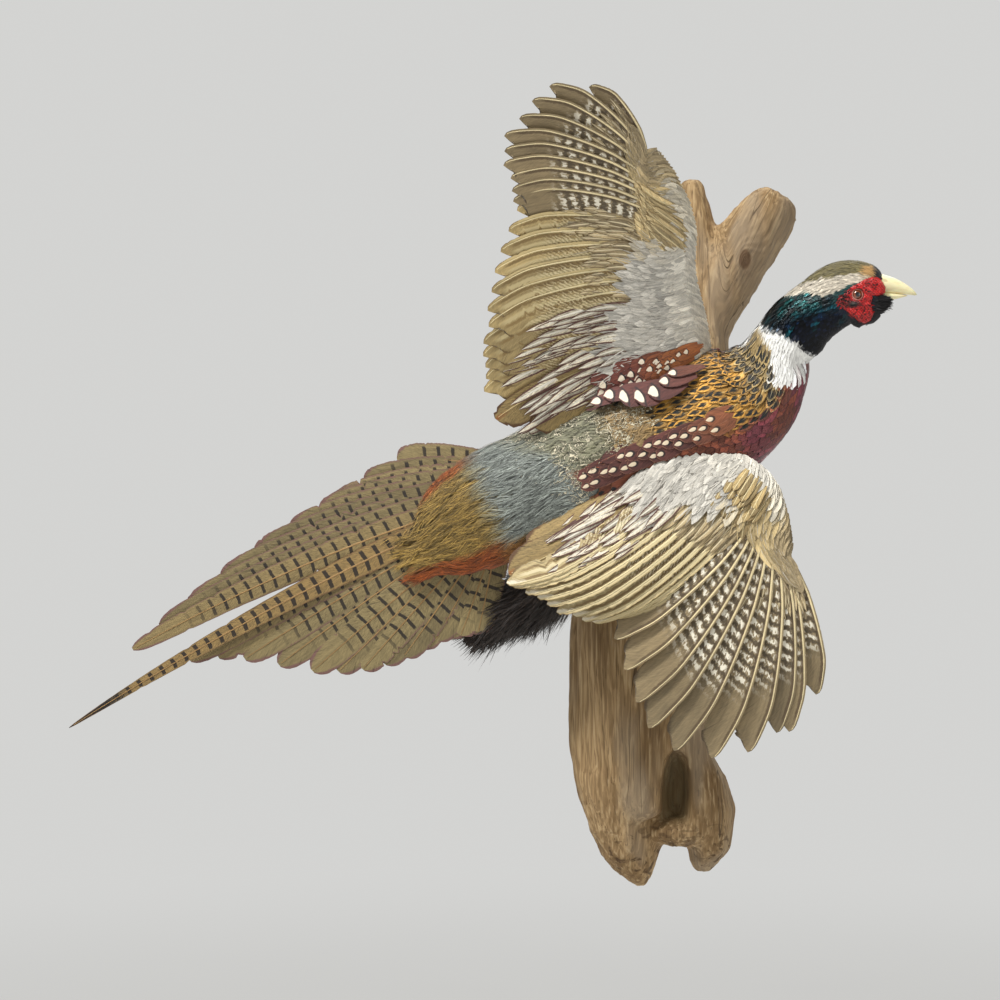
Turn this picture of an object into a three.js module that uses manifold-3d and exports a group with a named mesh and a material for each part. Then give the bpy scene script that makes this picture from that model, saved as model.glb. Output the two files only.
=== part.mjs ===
// A life-size taxidermy cock pheasant in banking flight, fixed by its belly to a forked piece of driftwood
// that hangs on a wall. Millimetres. +Z is up, the wall is the plane y = 0 and the bird is in front of it, at
// negative y. The origin is on the driftwood's sawn back, at its hanging point.
//
// The bird shows its back to the room: its head is to the right (+X), its left wing is raised and its right
// wing hangs. Every feathered form is the outer shape of the plumage, out to the tips of the feathers.
import * as THREE from "three";
import { mergeVertices } from "three/addons/utils/BufferGeometryUtils.js";
import Module from "manifold-3d";

const wasm = await Module();
wasm.setup();

// ---- Driving dimensions ---------------------------------------------------------------------------------

const GAP = 0.35; // left between two pieces that touch
const VANE = 1.3; // thickness of one feather's vane
const VANE_STEP = 0.4; // each feather of a fan lies this much above its neighbour

const PRIMARY = { count: 10, front: 8, rear: 17 }; // vanes in front of and behind the shaft
const SECONDARY = { count: 12, front: 9, rear: 18 };
const TERTIAL = { count: 3, front: 11, rear: 17 };
const TAIL_FEATHER = { count: 15, front: 13, rear: 13 };
const EYE = { radius: 5.2, x: 127, z: 76.5, middle: -216.5, apart: 24.4 };

const COLOUR = {
  gold: 0xb98a45,
  maroon: 0x6b2a35,
  green: 0x12403f,
  bill: 0xe3d9a2,
  iris: 0x3a1a10,
  coverts: 0xa9a79f,
  flight: 0x9a8a66,
  tail: 0x94804f,
  leg: 0x8a8478,
  thigh: 0x2b211c,
  wood: 0x8d6e4c,
  steel: 0x9a9a9a,
};

// ---- Solids ---------------------------------------------------------------------------------------------

// A closed three.js geometry as a manifold solid, whichever way its faces were turned by the remapping.
function solidOf(geometry) {
  const bare = geometry.clone();
  bare.deleteAttribute("normal");
  bare.deleteAttribute("uv");
  const merged = mergeVertices(bare, 1e-4);
  const place = merged.attributes.position;
  const corners = [];
  for (let i = 0; i < merged.index.count; i += 3) {
    const [a, b, c] = [0, 1, 2].map((k) => merged.index.getX(i + k));
    if (a !== b && b !== c && a !== c) corners.push([a, b, c]);
  }
  const at = (i) => new THREE.Vector3().fromBufferAttribute(place, i);
  const volume = corners.reduce((sum, [a, b, c]) => sum + at(a).dot(at(b).cross(at(c))), 0);
  const faces = volume < 0 ? corners.map(([a, b, c]) => [a, c, b]) : corners;
  return new wasm.Manifold(
    new wasm.Mesh({
      numProp: 3,
      vertProperties: new Float32Array(place.array),
      triVerts: new Uint32Array(faces.flat()),
    }),
  );
}

function geometryOf(solid) {
  const mesh = solid.getMesh();
  const geometry = new THREE.BufferGeometry();
  geometry.setAttribute("position", new THREE.BufferAttribute(mesh.vertProperties, 3));
  geometry.setIndex(new THREE.BufferAttribute(mesh.triVerts, 1));
  return geometry;
}

// A unit cylinder with its ring and height remapped. place(x, y, v) gets a point of the unit disc and the
// share v of the height, and returns where it goes.
function swept(sides, steps, place, turn = 0) {
  const geometry = new THREE.CylinderGeometry(1, 1, 1, sides, steps, false, turn);
  const points = geometry.attributes.position;
  for (let i = 0; i < points.count; i++) {
    const p = place(points.getX(i), points.getZ(i), points.getY(i) + 0.5);
    points.setXYZ(i, p.x, p.y, p.z);
  }
  return solidOf(geometry);
}

const vec = (x, y, z) => new THREE.Vector3(x, y, z);
const atEnd = (v) => (v === 1 ? 1 : v === 0 ? -1 : 0); // which end cap a share of the height lies on
const point = (list) => vec(...list);
const mix = THREE.MathUtils.lerp;

// A smooth curve through the values of one named size, given station by station.
function along(stations, size) {
  const curve = new THREE.CatmullRomCurve3(stations.map((s, i) => vec(i, s[size], 0)), false, "centripetal");
  return (t) => curve.getPoint(t).y;
}

function union(solids) {
  return solids.reduce((sum, solid) => sum.add(solid));
}

// The largest single body that is left when others are cut away.
function cut(solid, ...others) {
  const left = others.reduce((rest, other) => rest.subtract(other), solid);
  return left.decompose().sort((a, b) => b.volume() - a.volume())[0];
}

// ---- Body: one form from the tail coverts to the forehead, then parted ----------------------------------

// at: centre of the section. wide: half the width, left to right. back and belly: how far it reaches to the
// bird's back and belly. bank: how far the back is turned from the room (0) to straight up (90).
const BODY = [
  { at: [-251, -124, -142], wide: 27, back: 5, belly: 6, bank: 12 },
  { at: [-224, -130, -127], wide: 43, back: 13, belly: 15, bank: 12 },
  { at: [-188, -137, -108], wide: 50, back: 25, belly: 28, bank: 13 },
  { at: [-142, -144, -86], wide: 52, back: 36, belly: 42, bank: 14 },
  { at: [-90, -149, -63], wide: 56, back: 44, belly: 54, bank: 15 },
  { at: [-37, -152, -42], wide: 59, back: 49, belly: 60, bank: 16 },
  { at: [8, -156, -25], wide: 60, back: 49, belly: 60, bank: 18 },
  { at: [43, -162, -8], wide: 53, back: 44, belly: 53, bank: 23 },
  { at: [61, -171, 13], wide: 42, back: 36, belly: 41, bank: 35 },
  { at: [70, -181, 33], wide: 32, back: 31, belly: 32, bank: 52 },
  { at: [82, -193, 53], wide: 27, back: 28, belly: 28, bank: 70 },
  { at: [99, -205, 69], wide: 23, back: 26, belly: 27, bank: 84 },
  { at: [117, -213, 79], wide: 17, back: 28, belly: 27, bank: 90 },
  { at: [133, -218, 80], wide: 15, back: 26, belly: 31, bank: 90 },
  { at: [147, -220, 77], wide: 12, back: 19, belly: 25, bank: 90 },
  { at: [156, -221, 75], wide: 6, back: 10, belly: 14, bank: 90 },
];
const BODY_LINE = new THREE.CatmullRomCurve3(BODY.map((s) => point(s.at)), false, "centripetal");
const BODY_SIZE = Object.fromEntries(["wide", "back", "belly", "bank"].map((k) => [k, along(BODY, k)]));
const BODY_SIDES = 16;
const BODY_RINGS = 30; // two to each station
const NECK_RING = 15;
const HEAD_RING = 22;

// The bird's own directions at a share t of its length: ahead, to its left, and out of its back.
function bearings(t) {
  const ahead = BODY_LINE.getTangent(t);
  const out = vec(0, -1, 0).projectOnPlane(ahead).normalize();
  const side = out.clone().cross(ahead);
  const bank = THREE.MathUtils.degToRad(BODY_SIZE.bank(t));
  return {
    ahead,
    back: out.clone().multiplyScalar(Math.cos(bank)).addScaledVector(side, Math.sin(bank)),
    left: side.clone().multiplyScalar(Math.cos(bank)).addScaledVector(out, -Math.sin(bank)),
  };
}

function bodyPoint(x, y, t, grow = 0) {
  const { back, left } = bearings(t);
  const wide = BODY_SIZE.wide(t) + grow;
  const deep = (y > 0 ? BODY_SIZE.back(t) : BODY_SIZE.belly(t)) + grow;
  return BODY_LINE.getPoint(t).addScaledVector(left, x * wide).addScaledVector(back, y * deep);
}

// The body between two rings. It stops short of a ring inside the body by half a gap.
function bodyPart(first, last, grow = 0) {
  return swept(BODY_SIDES, last - first, (x, y, v) => {
    const ring = mix(first, last, v);
    const short = ring > 0 && ring < BODY_RINGS ? -GAP / 2 : grow;
    const t = ring / BODY_RINGS;
    return bodyPoint(x, y, t, grow).addScaledVector(BODY_LINE.getTangent(t), atEnd(v) * short);
  });
}

// ---- Bill and eyes --------------------------------------------------------------------------------------

// A mandible: from base to tip, drooping, with a section that is deep at the root and ends in a point.
function mandible({ base, tip, wide, deep, droop, over }, grow = 0) {
  const line = new THREE.QuadraticBezierCurve3(
    point(base),
    point(base).lerp(point(tip), 0.6).add(vec(0, 0, droop)),
    point(tip),
  );
  return swept(8, 5, (x, y, v) => {
    const share = Math.pow(1 - v, over) + 0.03;
    return line.getPoint(v).add(vec(0, x * (wide * share + grow), y * (deep * share + grow)));
  });
}

const UPPER_BILL = { base: [141, -220, 86], tip: [180, -220, 77.5], wide: 8.5, deep: 8.5, droop: 4.5, over: 0.72 };
const LOWER_BILL = { base: [141, -220, 75], tip: [172, -220, 76.5], wide: 7.5, deep: 5, droop: 0, over: 0.8 };

function eyeSolid(side, grow = 0) {
  const ball = new THREE.SphereGeometry(EYE.radius + grow, 10, 6);
  return solidOf(ball.translate(EYE.x, EYE.middle - (side * EYE.apart) / 2, EYE.z));
}

// ---- Wings ----------------------------------------------------------------------------------------------

// The covered arm is an aerofoil between a leading edge and the line where the coverts end. armPoint takes a
// share t from the shoulder outwards and a share across from the leading edge to the rear.
function armPoint(wing, t, across, height = 0) {
  const from = new THREE.CatmullRomCurve3(wing.lead.map(point)).getPoint(t);
  const to = new THREE.CatmullRomCurve3(wing.rear.map(point)).getPoint(t);
  const rise = height + wing.camber * Math.sin(Math.PI * THREE.MathUtils.clamp(across, 0, 1));
  return from.lerp(to, across).addScaledVector(point(wing.normal).normalize(), rise);
}

// The arm between two of its rings.
function armForm(wing, first, last, grow = 0) {
  const thick = along(wing.thick.map((size) => ({ size })), "size");
  const lead = new THREE.CatmullRomCurve3(wing.lead.map(point));
  return swept(ARM_SIDES, last - first, (x, y, v) => {
    const ring = mix(first, last, v);
    const short = ring > 0 && ring < ARM_RINGS ? -GAP / 2 : grow;
    const t = ring / ARM_RINGS;
    const chord = armPoint(wing, t, 0).distanceTo(armPoint(wing, t, 1));
    const across = (1 - x) / 2;
    const height = y * (thick(t) * (1 - 0.7 * across) + grow);
    const place = armPoint(wing, t, across - (x * grow) / chord, height);
    return place.addScaledVector(lead.getTangent(t), atEnd(v) * short);
  });
}

// One feather: a thin blade from root to tip, stiff at the root, with its vane in front of and behind the
// shaft. lead points from the shaft to the front vane. lift moves it out along its normal. fine: how far its
// outline goes from that of a rounded feather (0) to that of a long pointed one (1).
const BLADE = [
  { t: 0, round: 0.3, fine: 0.6, thick: 2.2 },
  { t: 0.3, round: 1, fine: 0.85, thick: 1.9 },
  { t: 0.82, round: 0.88, fine: 0.26, thick: 0.9 },
  { t: 1, round: 0.2, fine: 0.07, thick: 0.6 },
];
function blade({ root, tip, bow, normal, lead, size, lift, fine }, grow = 0) {
  const middle = root.clone().lerp(tip, 0.5).addScaledVector(bow, 2);
  const line = new THREE.QuadraticBezierCurve3(root, middle, tip);
  const steps = BLADE.length - 1;
  return swept(
    4,
    steps,
    (x, y, v) => {
      const { t, thick, ...outline } = BLADE[Math.round(v * steps)];
      const ahead = line.getTangent(t);
      const out = normal.clone().projectOnPlane(ahead).normalize();
      const front = ahead.clone().cross(out);
      if (front.dot(lead) < 0) front.negate();
      const vane = x > 0 ? size.front : size.rear;
      const across = Math.SQRT2 * x * (vane * mix(outline.round, outline.fine, fine) + grow);
      const height = Math.SQRT2 * y * ((VANE / 2) * thick + grow) + lift;
      return line
        .getPoint(t)
        .addScaledVector(front, across)
        .addScaledVector(out, height)
        .addScaledVector(ahead, atEnd(v) * grow);
    },
    Math.PI / 4,
  );
}

// A fan of feathers, from its first to its last. tips: where they end, seen from in front, as [x, z]. lean: how
// far each leans towards the wall, and bow: how far its middle is bowed out, both as shares of its length. The
// nearer a feather comes to the length called pointed, the more it is so.
function fan({ rootAt, liftAt, tips, lean, bow, normal, lead, size, pointed = Infinity }, grow = 0) {
  const tipLine = new THREE.CatmullRomCurve3(tips.map(([x, z]) => vec(x, 0, z)));
  const feathers = [];
  for (let i = 0; i < size.count; i++) {
    const t = i / (size.count - 1);
    const root = rootAt(t);
    const end = tipLine.getPoint(t);
    const length = Math.hypot(end.x - root.x, end.z - root.z);
    const tip = end.setY(root.y + mix(...lean, t) * length);
    const bowed = point(bow[0]).lerp(point(bow[1]), t).multiplyScalar(length);
    const fine = (length / pointed) ** 2;
    feathers.push(blade({ root, tip, bow: bowed, normal, lead, size, lift: liftAt(i), fine }, grow));
  }
  return union(feathers);
}

function wingFan(wing, feathers, size, grow = 0) {
  const rootAt = (t) => armPoint(wing, mix(...feathers.roots, t), 0.4);
  const liftAt = (i) => i * VANE_STEP;
  return fan({ ...feathers, rootAt, liftAt, normal: point(wing.normal), lead: point(wing.ahead), size }, grow);
}

// Both wings, from the shoulder outwards. Feathers are counted from the wing's tip inwards.
const LEFT_WING = {
  lead: [[10, -158, 22], [2, -172, 62], [-9, -192, 100], [-11, -214, 140], [-28, -232, 178], [-48, -246, 203]],
  rear: [[-92, -168, -14], [-100, -184, 30], [-98, -200, 70], [-90, -216, 108], [-84, -230, 146], [-72, -244, 184]],
  thick: [17, 14, 11, 9, 6, 3],
  camber: 6,
  normal: [-0.1, -0.93, -0.36],
  ahead: [0.3, 0, 1],
  primaries: {
    roots: [0.97, 0.69],
    tips: [
      [-103, 249], [-137, 249], [-152, 237], [-163, 223], [-176, 209],
      [-176, 197], [-177, 186], [-171, 176], [-170, 166], [-169, 158],
    ],
    lean: [-0.38, -0.19],
    bow: [[0.05, -0.05, 0.05], [0, -0.05, 0.05]],
  },
  secondaries: {
    roots: [0.66, 0.2],
    tips: [[-169, 149], [-181, 112], [-191, 75], [-195, 44], [-197, 20], [-196, -1]],
    lean: [-0.19, 0],
    bow: [[0, -0.05, 0.05], [0, -0.05, 0.05]],
  },
  tertials: {
    roots: [0.16, 0.04],
    tips: [[-184, -28], [-152, -34], [-122, -28]],
    lean: [0, 0],
    bow: [[0, -0.05, 0.03], [0, -0.05, 0.02]],
  },
};
const RIGHT_WING = {
  lead: [[6, -176, -40], [24, -190, -55], [42, -202, -66], [60, -206, -84], [70, -204, -110], [76, -200, -142]],
  rear: [[-84, -180, -72], [-78, -192, -112], [-60, -200, -136], [-26, -202, -152], [18, -202, -158], [60, -200, -160]],
  thick: [15, 13, 11, 9, 6, 3],
  camber: 6,
  normal: [-0.05, -0.97, 0.22],
  ahead: [1, 0, -0.3],
  primaries: {
    roots: [0.97, 0.69],
    tips: [
      [102, -271], [79, -305], [68, -306], [43, -324], [11, -330],
      [-22, -324], [-45, -304], [-56, -281], [-67, -252], [-76, -225],
    ],
    lean: [0.2, 0.23],
    bow: [[0.04, -0.05, 0], [0.04, -0.05, 0]],
  },
  secondaries: {
    roots: [0.66, 0.2],
    tips: [[-80, -207], [-102, -212], [-124, -206], [-146, -193], [-163, -182], [-175, -178]],
    lean: [0.23, 0.1],
    bow: [[0.04, -0.05, -0.02], [0.04, -0.05, -0.03]],
  },
  tertials: {
    roots: [0.16, 0.04],
    tips: [[-172, -166], [-158, -150], [-140, -132]],
    lean: [0.1, 0.06],
    bow: [[0.03, -0.05, 0], [0.03, -0.05, 0]],
  },
};
const ARM_SIDES = 12;
const ARM_RINGS = 15;
const ARM_PARTS = { upper_arm: [0, 5], forearm: [5, 10], hand: [10, 15] };

// ---- Tail -----------------------------------------------------------------------------------------------

// From the bird's left edge, across the long middle pair, to its right edge.
const TAIL = {
  roots: [[-166, -136, -78], [-180, -132, -120]],
  tips: [
    [-274, -64], [-330, -103], [-345, -112], [-405, -150], [-468, -197], [-520, -238], [-581, -312],
    [-466, -248], [-415, -246], [-352, -257], [-306, -255], [-268, -243], [-239, -228], [-216, -224], [-200, -221],
  ],
  middle: 6,
  lean: [0.145, 0.145],
  bow: [[-0.01, -0.02, 0.06], [0, -0.02, -0.03]],
  pointed: 465,
};

function tailFan(grow = 0) {
  const rootAt = (t) => point(TAIL.roots[0]).lerp(point(TAIL.roots[1]), t);
  const liftAt = (i) => -Math.abs(i - TAIL.middle) * VANE_STEP;
  return fan({ ...TAIL, rootAt, liftAt, normal: vec(0, -1, 0), lead: vec(0, 0, 1), size: TAIL_FEATHER }, grow);
}

// ---- Legs: folded back under the tail -------------------------------------------------------------------

// A limb along points, with its own radius at each.
function limb(points, radii, sides, steps, grow = 0) {
  const line = new THREE.CatmullRomCurve3(points.map(point));
  const radius = along(radii.map((size) => ({ size })), "size");
  return swept(sides, steps, (x, y, v) => {
    const ahead = line.getTangent(v);
    const side = vec(0, 0, 1).projectOnPlane(ahead).normalize();
    const out = ahead.clone().cross(side);
    const r = radius(v) + grow;
    return line
      .getPoint(v)
      .addScaledVector(side, x * r)
      .addScaledVector(out, y * r)
      .addScaledVector(ahead, atEnd(v) * grow);
  });
}

const LEGS = {
  left: {
    hip: [-92, -104, -40],
    knee: [-128, -92, -52],
    heel: [-168, -84, -84],
    toes: [-232, -72, -112],
  },
  right: {
    hip: [-80, -128, -94],
    knee: [-138, -106, -180],
    heel: [-196, -94, -222],
    toes: [-256, -84, -230],
  },
};
const THIGH_RADII = [16, 31, 28, 11];
const TARSUS_RADII = [5, 4, 3.6, 5];
const TOES = [
  { reach: 52, turn: -0.32, curl: 16 },
  { reach: 60, turn: 0, curl: 20 },
  { reach: 48, turn: 0.32, curl: 16 },
  { reach: 18, turn: 2.6, curl: -6 },
];

function thigh({ hip, knee, heel }, grow = 0) {
  const middle = point(knee).lerp(point(heel), 0.5).toArray();
  return limb([hip, knee, middle, heel], THIGH_RADII, 12, 7, grow);
}

function tarsus({ heel, toes }, grow = 0) {
  const from = point(heel);
  const to = point(toes);
  const middle = from.clone().lerp(to, 0.5).add(vec(0, 3, 0));
  const shank = limb([from.toArray(), middle.toArray(), to.toArray()], TARSUS_RADII, 6, 4, grow);
  const spur = from.clone().lerp(to, 0.62);
  return shank.add(
    limb([spur.toArray(), spur.clone().add(vec(4, 6, 3)).toArray(), spur.clone().add(vec(12, 9, 5)).toArray()],
      [3.2, 2.4, 0.5], 5, 2, grow),
  );
}

// Loosely closed toes, each ending in its claw.
function foot({ heel, toes }, grow = 0) {
  const palm = point(toes);
  const ahead = palm.clone().sub(point(heel)).normalize();
  const side = vec(0, 1, 0).cross(ahead).normalize();
  const ball = new THREE.SphereGeometry(6.5 + grow, 8, 6).translate(palm.x, palm.y, palm.z);
  return union([
    solidOf(ball),
    ...TOES.map(({ reach, turn, curl }) => {
      const way = ahead.clone().multiplyScalar(Math.cos(turn)).addScaledVector(side, Math.sin(turn));
      const mid = palm.clone().addScaledVector(way, reach * 0.55).add(vec(0, -2, 0));
      const end = palm.clone().addScaledVector(way, reach).add(vec(0, curl, 0));
      return limb([palm.toArray(), mid.toArray(), end.toArray()], [4.2, 3.6, 0.7], 4, 4, grow);
    }),
  ]);
}

// ---- Driftwood ------------------------------------------------------------------------------------------

// A limb of the driftwood: a ribbed round section at each height. at: the middle of the section, wide and deep:
// its half sizes.
function timber(stations, sides, steps, ribs, grow = 0) {
  const line = new THREE.CatmullRomCurve3(stations.map((s) => point(s.at)), false, "centripetal");
  const wide = along(stations, "wide");
  const deep = along(stations, "deep");
  return swept(sides, steps, (x, y, v) => {
    const angle = Math.atan2(y, x);
    const rib = 1 + 0.035 * Math.sin(ribs * angle + 5 * v) + 0.025 * Math.sin((ribs + 4) * angle - 9 * v);
    const across = line.getTangent(v).cross(vec(0, 1, 0)).normalize();
    return line
      .getPoint(v)
      .addScaledVector(across, x * (wide(v) * rib + grow))
      .add(vec(0, -y * (deep(v) * rib + grow), 0));
  });
}

const STEM = [
  { at: [-40, -34, -396], wide: 30, deep: 38 },
  { at: [-48, -34, -372], wide: 56, deep: 46 },
  { at: [-48, -34, -330], wide: 67, deep: 48 },
  { at: [-49, -36, -260], wide: 65, deep: 50 },
  { at: [-47, -38, -190], wide: 62, deep: 56 },
  { at: [-32, -38, -110], wide: 58, deep: 60 },
  { at: [-6, -38, -30], wide: 44, deep: 60 },
  { at: [12, -34, 34], wide: 25, deep: 42 },
  { at: [14, -32, 66], wide: 20, deep: 32 },
];
const LEFT_FORK = [
  { at: [12, -28, 20], wide: 20, deep: 28 },
  { at: [11, -28, 80], wide: 18, deep: 26 },
  { at: [10, -26, 150], wide: 16, deep: 22 },
  { at: [2, -25, 197], wide: 12, deep: 18 },
  { at: [1, -25, 203], wide: 8, deep: 12 },
];
const RIGHT_FORK = [
  { at: [6, -32, 24], wide: 20, deep: 28 },
  { at: [12, -32, 58], wide: 25, deep: 30 },
  { at: [23, -33, 88], wide: 30, deep: 31 },
  { at: [42, -34, 124], wide: 32, deep: 33 },
  { at: [62, -36, 154], wide: 31, deep: 33 },
  { at: [77, -38, 176], wide: 27, deep: 30 },
  { at: [84, -38, 187], wide: 18, deep: 22 },
];
const LEFT_FOOT = [
  { at: [-74, -34, -352], wide: 38, deep: 42 },
  { at: [-69, -34, -386], wide: 35, deep: 38 },
  { at: [-56, -32, -431], wide: 30, deep: 30 },
  { at: [-48, -30, -454], wide: 15, deep: 20 },
  { at: [-46, -30, -466], wide: 4, deep: 8 },
];
const RIGHT_FOOT = [
  { at: [-10, -34, -308], wide: 24, deep: 42 },
  { at: [-4, -34, -350], wide: 27, deep: 42 },
  { at: [9, -34, -384], wide: 32, deep: 40 },
  { at: [19, -32, -416], wide: 25, deep: 32 },
  { at: [12, -31, -443], wide: 13, deep: 20 },
  { at: [10, -30, -452], wide: 6, deep: 10 },
];
const HOLLOW = { at: [-16, -74, -376], size: [15, 34, 48] };
const NOTCH = { at: [-14, -50, -448], size: [16, 60, 26] };

function pocket({ at, size }) {
  return solidOf(new THREE.SphereGeometry(1, 12, 8).scale(...size).translate(...at));
}

function driftwood(grow = 0) {
  const whole = union([
    timber(STEM, 16, 12, 5, grow),
    timber(LEFT_FORK, 10, 5, 3, grow),
    timber(RIGHT_FORK, 12, 7, 3, grow),
    timber(LEFT_FOOT, 12, 6, 3, grow),
    timber(RIGHT_FOOT, 12, 6, 3, grow),
  ]);
  const room = solidOf(new THREE.BoxGeometry(600, 200, 1200).translate(0, -100, 0));
  return cut(whole.intersect(room), pocket(HOLLOW), pocket(NOTCH));
}

// ---- Assembly: each piece is cut by those before it, so that they meet without overlapping ---------------

const group = new THREE.Group();

function add(name, solid, colour, roughness = 0.8, metalness = 0) {
  const material = new THREE.MeshStandardMaterial({ color: colour, roughness, metalness });
  const mesh = new THREE.Mesh(geometryOf(solid), material);
  mesh.name = name;
  group.add(mesh);
}

const wood = driftwood();
add("driftwood", wood, COLOUR.wood, 0.9);

const eyes = { right: 1, left: -1 };
for (const [name, side] of Object.entries(eyes)) add(`eye_${name}`, eyeSolid(side), COLOUR.iris, 0.1);
const eyeHoles = Object.values(eyes).map((side) => eyeSolid(side, GAP));

const upperBill = mandible(UPPER_BILL);
const lowerBill = cut(mandible(LOWER_BILL), mandible(UPPER_BILL, GAP));
add("bill_upper", upperBill, COLOUR.bill, 0.4);
add("bill_lower", lowerBill, COLOUR.bill, 0.4);

// The belly is pressed against the wood.
const bills = [mandible(UPPER_BILL, GAP), mandible(LOWER_BILL, GAP)];
add("head", cut(bodyPart(HEAD_RING, BODY_RINGS), ...eyeHoles, ...bills), COLOUR.green);
add("neck", bodyPart(NECK_RING, HEAD_RING), COLOUR.gold);
add("trunk", cut(bodyPart(0, NECK_RING), driftwood(GAP)), COLOUR.gold);
const body = bodyPart(0, BODY_RINGS, GAP);

for (const [side, wing] of Object.entries({ left: LEFT_WING, right: RIGHT_WING })) {
  for (const [name, rings] of Object.entries(ARM_PARTS)) {
    add(`wing_${side}_${name}`, cut(armForm(wing, ...rings), body), COLOUR.coverts);
  }
  const arm = armForm(wing, 0, ARM_RINGS, 2 * GAP);
  const primaries = (grow) => wingFan(wing, wing.primaries, PRIMARY, grow);
  const secondaries = (grow) => wingFan(wing, wing.secondaries, SECONDARY, grow);
  add(`wing_${side}_primaries`, cut(primaries(0), arm, body), COLOUR.flight);
  add(`wing_${side}_secondaries`, cut(secondaries(0), arm, body, primaries(GAP)), COLOUR.flight);
  const tertials = cut(wingFan(wing, wing.tertials, TERTIAL), arm, body, secondaries(GAP));
  add(`wing_${side}_tertials`, tertials, COLOUR.flight);
}

add("tail", cut(tailFan(), body), COLOUR.tail);
for (const [side, leg] of Object.entries(LEGS)) {
  add(`leg_${side}_thigh`, cut(thigh(leg), body, tailFan(GAP)), COLOUR.thigh);
  add(`leg_${side}_shank`, cut(tarsus(leg), body, thigh(leg, GAP)), COLOUR.leg, 0.6);
  add(`leg_${side}_foot`, cut(foot(leg), tarsus(leg, GAP)), COLOUR.leg, 0.6);
}

export default group;
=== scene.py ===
"""The looks of a life-size taxidermy cock pheasant in banking flight, fixed to a forked piece of driftwood.

Sizes are in millimetres until a mesh is made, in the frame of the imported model: +X to the bird's head, +Z up,
the wall at y = 0. The bird shows its back to the camera. One skin stands for the flesh, and feathers laid row
by row over it carry the markings. Colours are sRGB 0 to 255 until they reach a shader.
"""
import math

import bpy
import numpy as np
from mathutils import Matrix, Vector, noise
from mathutils.bvhtree import BVHTree


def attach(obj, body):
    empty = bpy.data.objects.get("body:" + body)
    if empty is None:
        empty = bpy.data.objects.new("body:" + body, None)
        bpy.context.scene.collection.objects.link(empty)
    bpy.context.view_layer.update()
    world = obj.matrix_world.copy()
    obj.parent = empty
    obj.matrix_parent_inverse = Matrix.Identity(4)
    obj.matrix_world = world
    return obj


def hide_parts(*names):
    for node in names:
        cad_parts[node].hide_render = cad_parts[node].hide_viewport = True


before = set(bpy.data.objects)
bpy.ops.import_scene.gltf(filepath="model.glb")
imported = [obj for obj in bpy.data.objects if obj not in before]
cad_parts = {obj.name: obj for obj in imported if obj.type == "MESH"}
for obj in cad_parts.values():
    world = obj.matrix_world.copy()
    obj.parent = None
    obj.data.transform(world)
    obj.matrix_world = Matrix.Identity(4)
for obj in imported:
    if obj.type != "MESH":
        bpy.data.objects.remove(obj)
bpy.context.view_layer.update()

MM = 0.001
dice = np.random.default_rng(11)


# ---- Numbers ----------------------------------------------------------------------------------------------

def unit(vectors):
    """Vectors at length one."""
    return vectors / np.maximum(np.linalg.norm(vectors, axis=-1, keepdims=True), 1e-9)


def smooth(low, high, value):
    """0 below low, 1 above high, with a soft step between."""
    t = np.clip((value - low) / (high - low), 0, 1)
    return t * t * (3 - 2 * t)


def mix(a, b, share):
    return a + (b - a) * share


def blend(base, colour, share):
    """Colours moved towards another by a share each."""
    return base + (np.asarray(colour, float) - base) * np.clip(share, 0, 1)[..., None]


def linear(colour):
    """An sRGB colour, 0 to 255, as a shader takes it."""
    c = np.clip(np.asarray(colour, float) / 255, 0, 1)
    return np.where(c <= 0.04045, c / 12.92, ((c + 0.055) / 1.055) ** 2.4)


def catmull(points, t):
    """A centripetal Catmull-Rom curve through points, or through the heights of evenly spaced stations."""
    p = np.asarray(points, float)
    flat = p.ndim == 1
    if flat:
        p = np.stack([np.arange(len(p)), p], 1)
    held = np.vstack([2 * p[0] - p[1], p, 2 * p[-1] - p[-2]])
    at = np.clip(np.asarray(t, float), 0, 1) * (len(p) - 1)
    i = np.minimum(at.astype(int), len(p) - 2)
    w = (at - i)[..., None]
    a, b, c, d = (held[i + k] for k in range(4))
    ab, bc, cd = (np.sqrt(np.linalg.norm(q - r, axis=-1, keepdims=True)) for q, r in ((b, a), (c, b), (d, c)))
    into = ((b - a) / ab - (c - a) / (ab + bc) + (c - b) / bc) * bc
    away = ((c - b) / bc - (d - b) / (bc + cd) + (d - c) / cd) * bc
    curve = b + into * w + (3 * (c - b) - 2 * into - away) * w ** 2 + (2 * (b - c) + into + away) * w ** 3
    return curve[..., 1] if flat else curve


def interpolate(at, knots, values):
    """Straight interpolation of rows of vectors."""
    return np.stack([np.interp(at, knots, values[:, k]) for k in range(values.shape[1])], -1)


def ripple(points, scale, seed=0.0):
    """A cheap smooth noise, about -1 to 1, at points in mm."""
    p = np.asarray(points, float) / scale
    x, y, z = p[..., 0], p[..., 1], p[..., 2]
    one = np.sin(1.7 * x + 2.3 * np.sin(1.1 * z + seed) + 1.9 * y)
    two = np.sin(1.3 * z + 2.1 * np.sin(1.5 * y - seed) - 2.2 * x + 4.1)
    three = np.sin(2.9 * y + 1.6 * np.sin(1.9 * x + 1.7 * seed) + 1.2 * z + 1.3)
    return (one + two + three) / 3


# ---- Forms, as the solids have them -----------------------------------------------------------------------

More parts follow.
